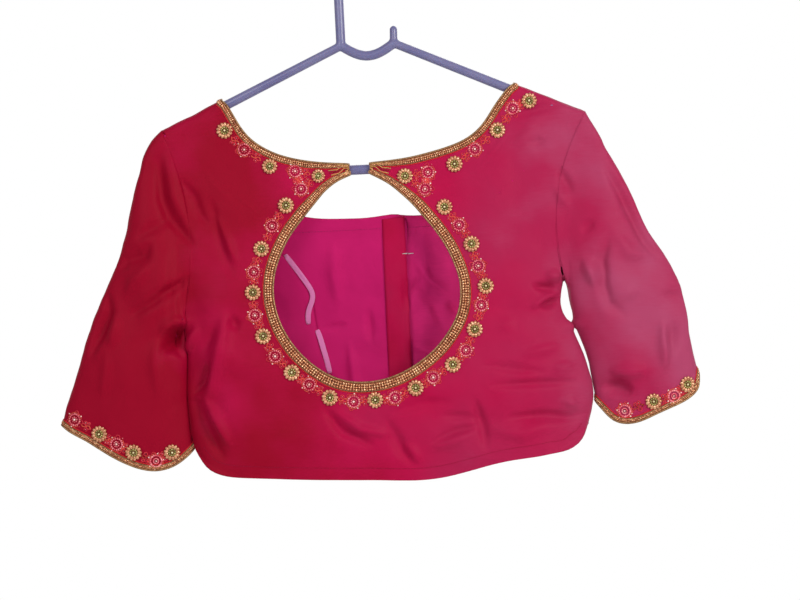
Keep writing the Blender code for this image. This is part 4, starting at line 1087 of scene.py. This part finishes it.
def swirl(tree, middle, others, number):
    """Bmesh of one swirl, with the threads to the nearest two motifs on the same side."""
    place = seat(tree, middle)
    parts = [bmesh.new() for _ in SWIRL_FINISHES]
    tilt = number * 1.7
    for count, share, sizes, lift in SWIRL_RINGS:
        ring(parts[0], place, tree, count, share * SWIRL_RADIUS, sizes, lift, start=tilt)
    bead(parts[1], place @ Matrix.Translation((0, 0, 1.0 * MM)), PEACH_BEAD, 8, 5)
    for turn, far, size in SPECKS:
        spot = place @ (Vector((far * math.cos(turn + tilt), far * math.sin(turn + tilt), 0)) * MM)
        speck = seat(tree, spot)
        speck.translation = on_cloth(tree, spot, 0.5)
        bead(parts[1 if size > CORAL_UNDER else 0], speck, (size, size, size))
    add_to(parts[3], curl(place, tree, 1.12 * SWIRL_RADIUS, tilt, 5.2))
    for turn in CURLS:
        centre = (7.4 * math.cos(turn + tilt), 7.4 * math.sin(turn + tilt))
        add_to(parts[2], curl(place, tree, 1.9, turn + tilt - 2.4, 4.2, centre=centre))
    facing_alike = [spot for spot in others
                    if seat(tree, spot).col[2].dot(place.col[2]) > 0.3]
    for other in sorted(facing_alike, key=lambda spot: (spot - middle).length)[:2]:
        reach = (other - middle).length
        along = (other - middle).normalized()
        aside = place.to_3x3().col[2].cross(along)
        # Two threads cross on the way, with three loops of thread and their beads beside them.
        for sway, part in ((1, 2), (-1, 3)):
            points = []
            for step in range(LINK_STEPS + 1):
                share = LINK_START + LINK_RUN * step / LINK_STEPS
                bow = sway * LINK_BOW * math.sin(math.pi * 2 * step / LINK_STEPS + 0.4)
                points.append(on_cloth(tree, middle + along * reach * share + aside * bow * MM,
                                       0.35))
            add_to(parts[part], wire(points, LINK_RADIUS, facets=4))
        for share, sideways, radius in LINK_LOOPS:
            loop = seat(tree, middle + along * reach * share + aside * sideways * MM)
            add_to(parts[2], curl(loop, tree, radius, tilt + share * 9, 5.4, wire_radius=0.5))
            loop.translation = on_cloth(tree, loop.translation, 0.5)
            bead(parts[0], loop, (0.62, 0.62, 0.6))
    return joined(parts)


def swirls(name, tree, middles, rosettes):
    """One piece with all the swirls of a part of the blouse."""
    whole = bmesh.new()
    for number, middle in enumerate(middles):
        others = [spot for spot in middles + rosettes
                  if MM < (spot - middle).length < LINK_REACH * MM]
        add_to(whole, swirl(tree, middle, others, number))
    return piece(name, whole, SWIRL_FINISHES)


swirls("back_swirls", back_tree, [from_side(back_tree, *spot, -1) for spot in BACK_SWIRLS],
       [spot for node, spot in rosette_places.items() if "back" in node])
for side, tree in sleeve_trees.items():
    middles = [from_side(tree, *spot, looking) for looking in (-1, 1)
               for spot in CUFF_SWIRLS[side]]
    swirls(f"cuff_swirls_{side}", tree, middles,
           [spot for node, spot in rosette_places.items() if f"cuff_{side}" in node])


# ---------------------------------------------------------------- tips of the neck
# Where the neck and keyhole edges run together, fine gold and red threads are couched side by
# side between them, and fan out from each tip.

TIPS = (("left", -23.5), ("right", -4.5))   # across
FAN_LENGTH = 27.0         # across, from each tip
FAN_RADIUS = 0.45
FAN_LIFT = 0.55
FAN_LINES = [(0.16, "gold"), (0.28, "red"), (0.40, "gold"), (0.52, "red"), (0.64, "gold"),
             (0.76, "red"), (0.88, "gold")]
GOLD_THREAD = thread("gold_thread", (0.40, 0.22, 0.05), (0.75, 0.50, 0.16))
keyhole_spots = [spot for spot, _, _ in keyhole_frames]
fan_parts = {"gold": bmesh.new(), "red": bmesh.new()}
for side, tip_across in TIPS:
    upper = [spot for spot, _, _ in neck_frames[side]
             if abs(spot.x / MM - tip_across) < FAN_LENGTH]
    upper.sort(key=lambda spot: abs(spot.x / MM - tip_across))
    for share, colour in FAN_LINES:
        points = []
        for spot in upper:
            below = min(keyhole_spots, key=lambda other: (other - spot).length_squared)
            points.append(on_cloth(back_tree, spot.lerp(below, share), FAN_LIFT))
        add_to(fan_parts[colour], wire(points, FAN_RADIUS, facets=4))
piece("neck_tip_gold_threads", fan_parts["gold"], [GOLD_THREAD])
piece("neck_tip_red_threads", fan_parts["red"],
      [thread("tip_red_thread", (0.14, 0.010, 0.008), (0.34, 0.025, 0.018))])


# ---------------------------------------------------------------- seams
# The cuts are machine sewn with their edges turned in, so each seam shows as a close, slightly
# sunken roll of the cloth.

SEAM_RADIUS = 0.62
SEAM_SINK = 0.42
SEAM_REACH = 2.2          # edges this near each other are sewn
SEAM_LEAST = 4            # a seam has more points than this
SEAM_ENDS = 2             # points left off each end of a seam, where it is turned in


def seam(name, first, second, finish):
    """Roll of cloth along where two pieces of cloth meet, if they do."""
    other = BVHTree.FromBMesh(shown[second])
    whole = bmesh.new()
    for line in edge_lines(shown[first], other):
        add_to(whole, wire(line, SEAM_RADIUS, facets=6))
    if whole.verts:
        piece(name, whole, [finish])
    else:
        whole.free()


def edge_lines(skin, other):
    """Lines of points, just under the cloth, along its edges that lie close to another cloth."""
    links = border(skin, lambda vert: other.find_nearest(vert.co, SEAM_REACH * MM)[0])
    lines, passed = [], set()
    starts = [vert for vert in links if len(links[vert]) == 1] + list(links)
    for start in starts:
        chain = walk(start, links, passed)
        if len(chain) > SEAM_LEAST:
            line = []
            for vert in chain:
                near = other.find_nearest(vert.co)[0]
                line.append(vert.co.lerp(near, 0.5) - vert.normal * SEAM_SINK * MM)
            short = len(line) <= 4 * SEAM_ENDS
            lines.append(line if short else line[SEAM_ENDS:-SEAM_ENDS])
    return lines


SEAMS = [                 # name, and the two cloths that are sewn, on either side
    ("armhole_back", "back_panel", "sleeve_{}_tube"),
    ("armhole_front", "side_front_{}_panel", "sleeve_{}_tube"),
    ("armhole_top", "centre_front_{}_panel", "sleeve_{}_tube"),
    ("princess", "centre_front_{}_panel", "side_front_{}_panel"),
    ("side", "back_panel", "side_front_{}_panel"),
    ("shoulder", "back_panel", "centre_front_{}_panel")]
for name, first, second in SEAMS:
    for side in ("left", "right"):
        seam(f"{name}_{side}_seam", first.format(side), second.format(side), CRIMSON_SILK)
seam("lining_left_seam", "lining_centre_left_panel", "lining_side_left_panel", LINING_CLOTH)


# ---------------------------------------------------------------- seam allowance
# Inside the left front the pressed-open seam allowance of the lining shows as a pale ribbon, in
# two lengths, caught down at its ends and standing a little off the lining between them.

RIBBON_WIDTH = 5.4
RIBBON_WALL = 0.3
RIBBONS = [               # across and drop
    [(-94.5, 303), (-84, 318), (-74, 333), (-67.5, 345), (-71.5, 355), (-75.5, 364), (-75, 375)],
    [(-66.5, 381), (-63.5, 390), (-61.5, 399), (-58, 412), (-55.5, 426)]]
RIBBON_CLOTH = silk("seam_ribbon", (0.50, 0.10, 0.28), (0.66, 0.19, 0.42), (0.72, 0.26, 0.48),
                    (0.80, 0.36, 0.56), rough=0.6)
lining_trees = [BVHTree.FromBMesh(shown[f"{node}_panel"]) for node in
                ("lining_centre_left", "lining_side_left")]


def on_lining(across, drop):
    """Place on the inside of the left front, met from the back."""
    start = at(across, drop, -100)
    hits = [tree.ray_cast(start, Vector((0, 1, 0)))[0] for tree in lining_trees]
    hits = [hit for hit in hits if hit]
    if not hits:          # the slit between the two linings
        start = at(across, drop, 20)
        hits = [tree.find_nearest(start)[0] for tree in lining_trees]
    return min(hits, key=lambda hit: hit.y)


ribbon_shape = bmesh.new()
for line in RIBBONS:
    rows = []
    for number, (across, drop) in enumerate(line):
        before = Vector(line[max(number - 1, 0)])
        after = Vector(line[min(number + 1, len(line) - 1)])
        way = (after - before).normalized()
        lift = 0.5 + 1.1 * math.sin(math.pi * number / (len(line) - 1))
        row = []
        for share in (-0.5, -0.17, 0.17, 0.5):
            spot = Vector((across, drop)) + Vector((-way.y, way.x)) * share * RIBBON_WIDTH
            rise = lift * (1 - 0.5 * abs(share)) + 0.3 * math.sin(number * 2.1 + share * 9)
            row.append(ribbon_shape.verts.new(on_lining(*spot) - Vector((0, rise * MM, 0))))
        rows.append(row)
    for near, far in zip(rows, rows[1:]):
        for i in range(3):
            ribbon_shape.faces.new([near[i], near[i + 1], far[i + 1], far[i]])
bmesh.ops.recalc_face_normals(ribbon_shape, faces=ribbon_shape.faces)
ribbon_shape.normal_update()
if ribbon_shape.faces[:][0].normal.y > 0:
    bmesh.ops.reverse_faces(ribbon_shape, faces=ribbon_shape.faces)
ribbon = piece("seam_ribbon", ribbon_shape, [RIBBON_CLOTH])
ribbon_round = ribbon.modifiers.new("rounded", "SUBSURF")
ribbon_round.levels = ribbon_round.render_levels = 2
ribbon_wall = ribbon.modifiers.new("walled", "SOLIDIFY")
ribbon_wall.thickness = RIBBON_WALL * MM
settle(ribbon)


# ---------------------------------------------------------------- stitching
# Lines of small machine stitches, in thread of the cloth's colour, hold up the hem all round and
# the turned top of the fronts' lining.

STITCH = (1.05, 0.22, 0.16)   # half lengths: along, across and above the cloth
STITCH_PITCH = 3.1
STITCH_LIFT = 0.12        # a stitch's middle above the cloth
HEM_TOP = 486.0           # the bottom edge lies below this drop
HEM_DEPTH = 12.0
HEM_ENDS = 8              # points of the edge without stitches at each seam
TURNED_TOP = 281.5        # drop of the stitches along the top of the fronts
TOP_STEPS = 30
STITCH_THREAD = thread("stitch_thread", (0.22, 0.002, 0.020), (0.34, 0.004, 0.040))
LINING_THREAD = thread("lining_thread", (0.26, 0.006, 0.07), (0.44, 0.015, 0.13))


def stitches(line, tree):
    """Bmesh of stitches along a line of points on the cloth."""
    made = bmesh.new()
    left = 0.0
    for start, end in zip(line, line[1:]):
        run = (end - start).length
        way = (end - start).normalized()
        while left < run:
            spot, out, _, _ = tree.find_nearest(start + way * left)
            along = (way - out * way.dot(out)).normalized()
            turn = Matrix((along, out.cross(along), out)).transposed().to_4x4()
            turn.translation = spot + out * STITCH_LIFT * MM
            bmesh.ops.create_cube(made, size=2, matrix=turn @ Matrix.Diagonal(
                (*(size * MM for size in STITCH), 1)))
            left += STITCH_PITCH * MM
        left -= run
    return made


for name in ("back", "centre_front_left", "side_front_left", "centre_front_right",
             "side_front_right"):
    skin = shown[f"{name}_panel"]
    tree = BVHTree.FromBMesh(skin)
    hem = edge_frames(skin, lambda across, drop: drop > HEM_TOP)
    line = [spot + into * HEM_DEPTH * MM for spot, into, _ in hem[HEM_ENDS:-HEM_ENDS]]
    piece(f"{name}_hem_stitches", stitches(line, tree), [STITCH_THREAD],
          smooth=False)
for node, start, end in (("lining_centre_left", -84, 3), ("lining_centre_right", 31, 84)):
    tree = BVHTree.FromBMesh(shown[f"{node}_panel"])
    line = [from_side(tree, start + (end - start) * step / TOP_STEPS, TURNED_TOP, -1)
            for step in range(TOP_STEPS + 1)]
    piece(f"{node}_top_stitches", stitches(line, tree), [LINING_THREAD],
          smooth=False)


# ---------------------------------------------------------------- hooks
# Five hooks of bent steel wire, sewn inside the right front, close the fronts.  The top one
# curls round the left front's edge.

# Bright drawn wire with fine lines along it.
HOOK_STEEL = grained("hook_steel", 2500.0, 2.0,
                     [(0.3, (0.55, 0.52, 0.52)), (0.7, (0.86, 0.82, 0.82))],
                     {"Metallic": 0.85, "Roughness": 0.28})
for number in range(1, 6):
    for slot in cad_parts[f"hook_{number}"].material_slots:
        slot.material = HOOK_STEEL


# ---------------------------------------------------------------- room
# A pale floor well below the blouse, a large soft light from the upper right, a weaker one from
# the upper left, and one for the far side.

FLOOR_DROP = 1.05         # metres below the rail
FLOOR_RADIUS = 1.4        # metres
floor_shape = bmesh.new()
bmesh.ops.create_circle(floor_shape, cap_ends=True, segments=64, radius=FLOOR_RADIUS,
                        matrix=Matrix.Translation((0, 0, -FLOOR_DROP)))
floor_mesh = bpy.data.meshes.new("floor")
floor_shape.to_mesh(floor_mesh)
floor_shape.free()
floor_finish, floor_shader, _, _ = nodes_of("floor")
floor_shader.inputs["Base Color"].default_value = (0.86, 0.86, 0.86, 1)
floor_shader.inputs["Roughness"].default_value = 0.8
floor_mesh.materials.append(floor_finish)
floor = bpy.data.objects.new("floor", floor_mesh)
bpy.context.scene.collection.objects.link(floor)


def softbox(name, place, size, watts, tint):
    """Square light that looks at the middle of the blouse."""
    light = bpy.data.lights.new(name, "AREA")
    light.size = size
    light.energy = watts
    light.color = tint
    made = bpy.data.objects.new(name, light)
    made.location = place
    made.rotation_euler = (CAMERA_AIM - Vector(place)).to_track_quat("-Z", "Y").to_euler()
    bpy.context.scene.collection.objects.link(made)


# Place, size, strength and tint.
softbox("key", (1.05, -1.25, 0.20), 0.55, 17, (1.0, 0.99, 0.97))
softbox("fill", (-0.75, -1.5, 0.40), 0.8, 11, (0.95, 0.97, 1.0))
softbox("far_side", (0.6, 1.9, 0.8), 1.4, 10, (1.0, 1.0, 1.0))

# The studio is white behind the blouse, and less bright on the camera's side.
world = bpy.data.worlds.new("studio")
world.use_nodes = True
nodes = world.node_tree.nodes
way = nodes.new("ShaderNodeTexCoord")
sides = nodes.new("ShaderNodeSeparateXYZ")
sky = nodes.new("ShaderNodeValToRGB")
sky.color_ramp.elements[0].position = 0.25
sky.color_ramp.elements[0].color = (0.42, 0.42, 0.43, 1)
sky.color_ramp.elements[1].position = 0.85
sky.color_ramp.elements[1].color = (1, 1, 1, 1)
world.node_tree.links.new(way.outputs["Generated"], sides.inputs["Vector"])
world.node_tree.links.new(sides.outputs["Y"], sky.inputs["Fac"])
world.node_tree.links.new(sky.outputs["Color"], nodes["Background"].inputs["Color"])
nodes["Background"].inputs["Strength"].default_value = 1.0
bpy.context.scene.world = world
bpy.context.scene.view_settings.view_transform = "Standard"


# ---------------------------------------------------------------- size
# A helper that turns box corners, in metres, into plain lists of numbers.

def plain(corners):
    """Box corners as lists of numbers."""
    return [[float(number) for number in corner] for corner in corners]
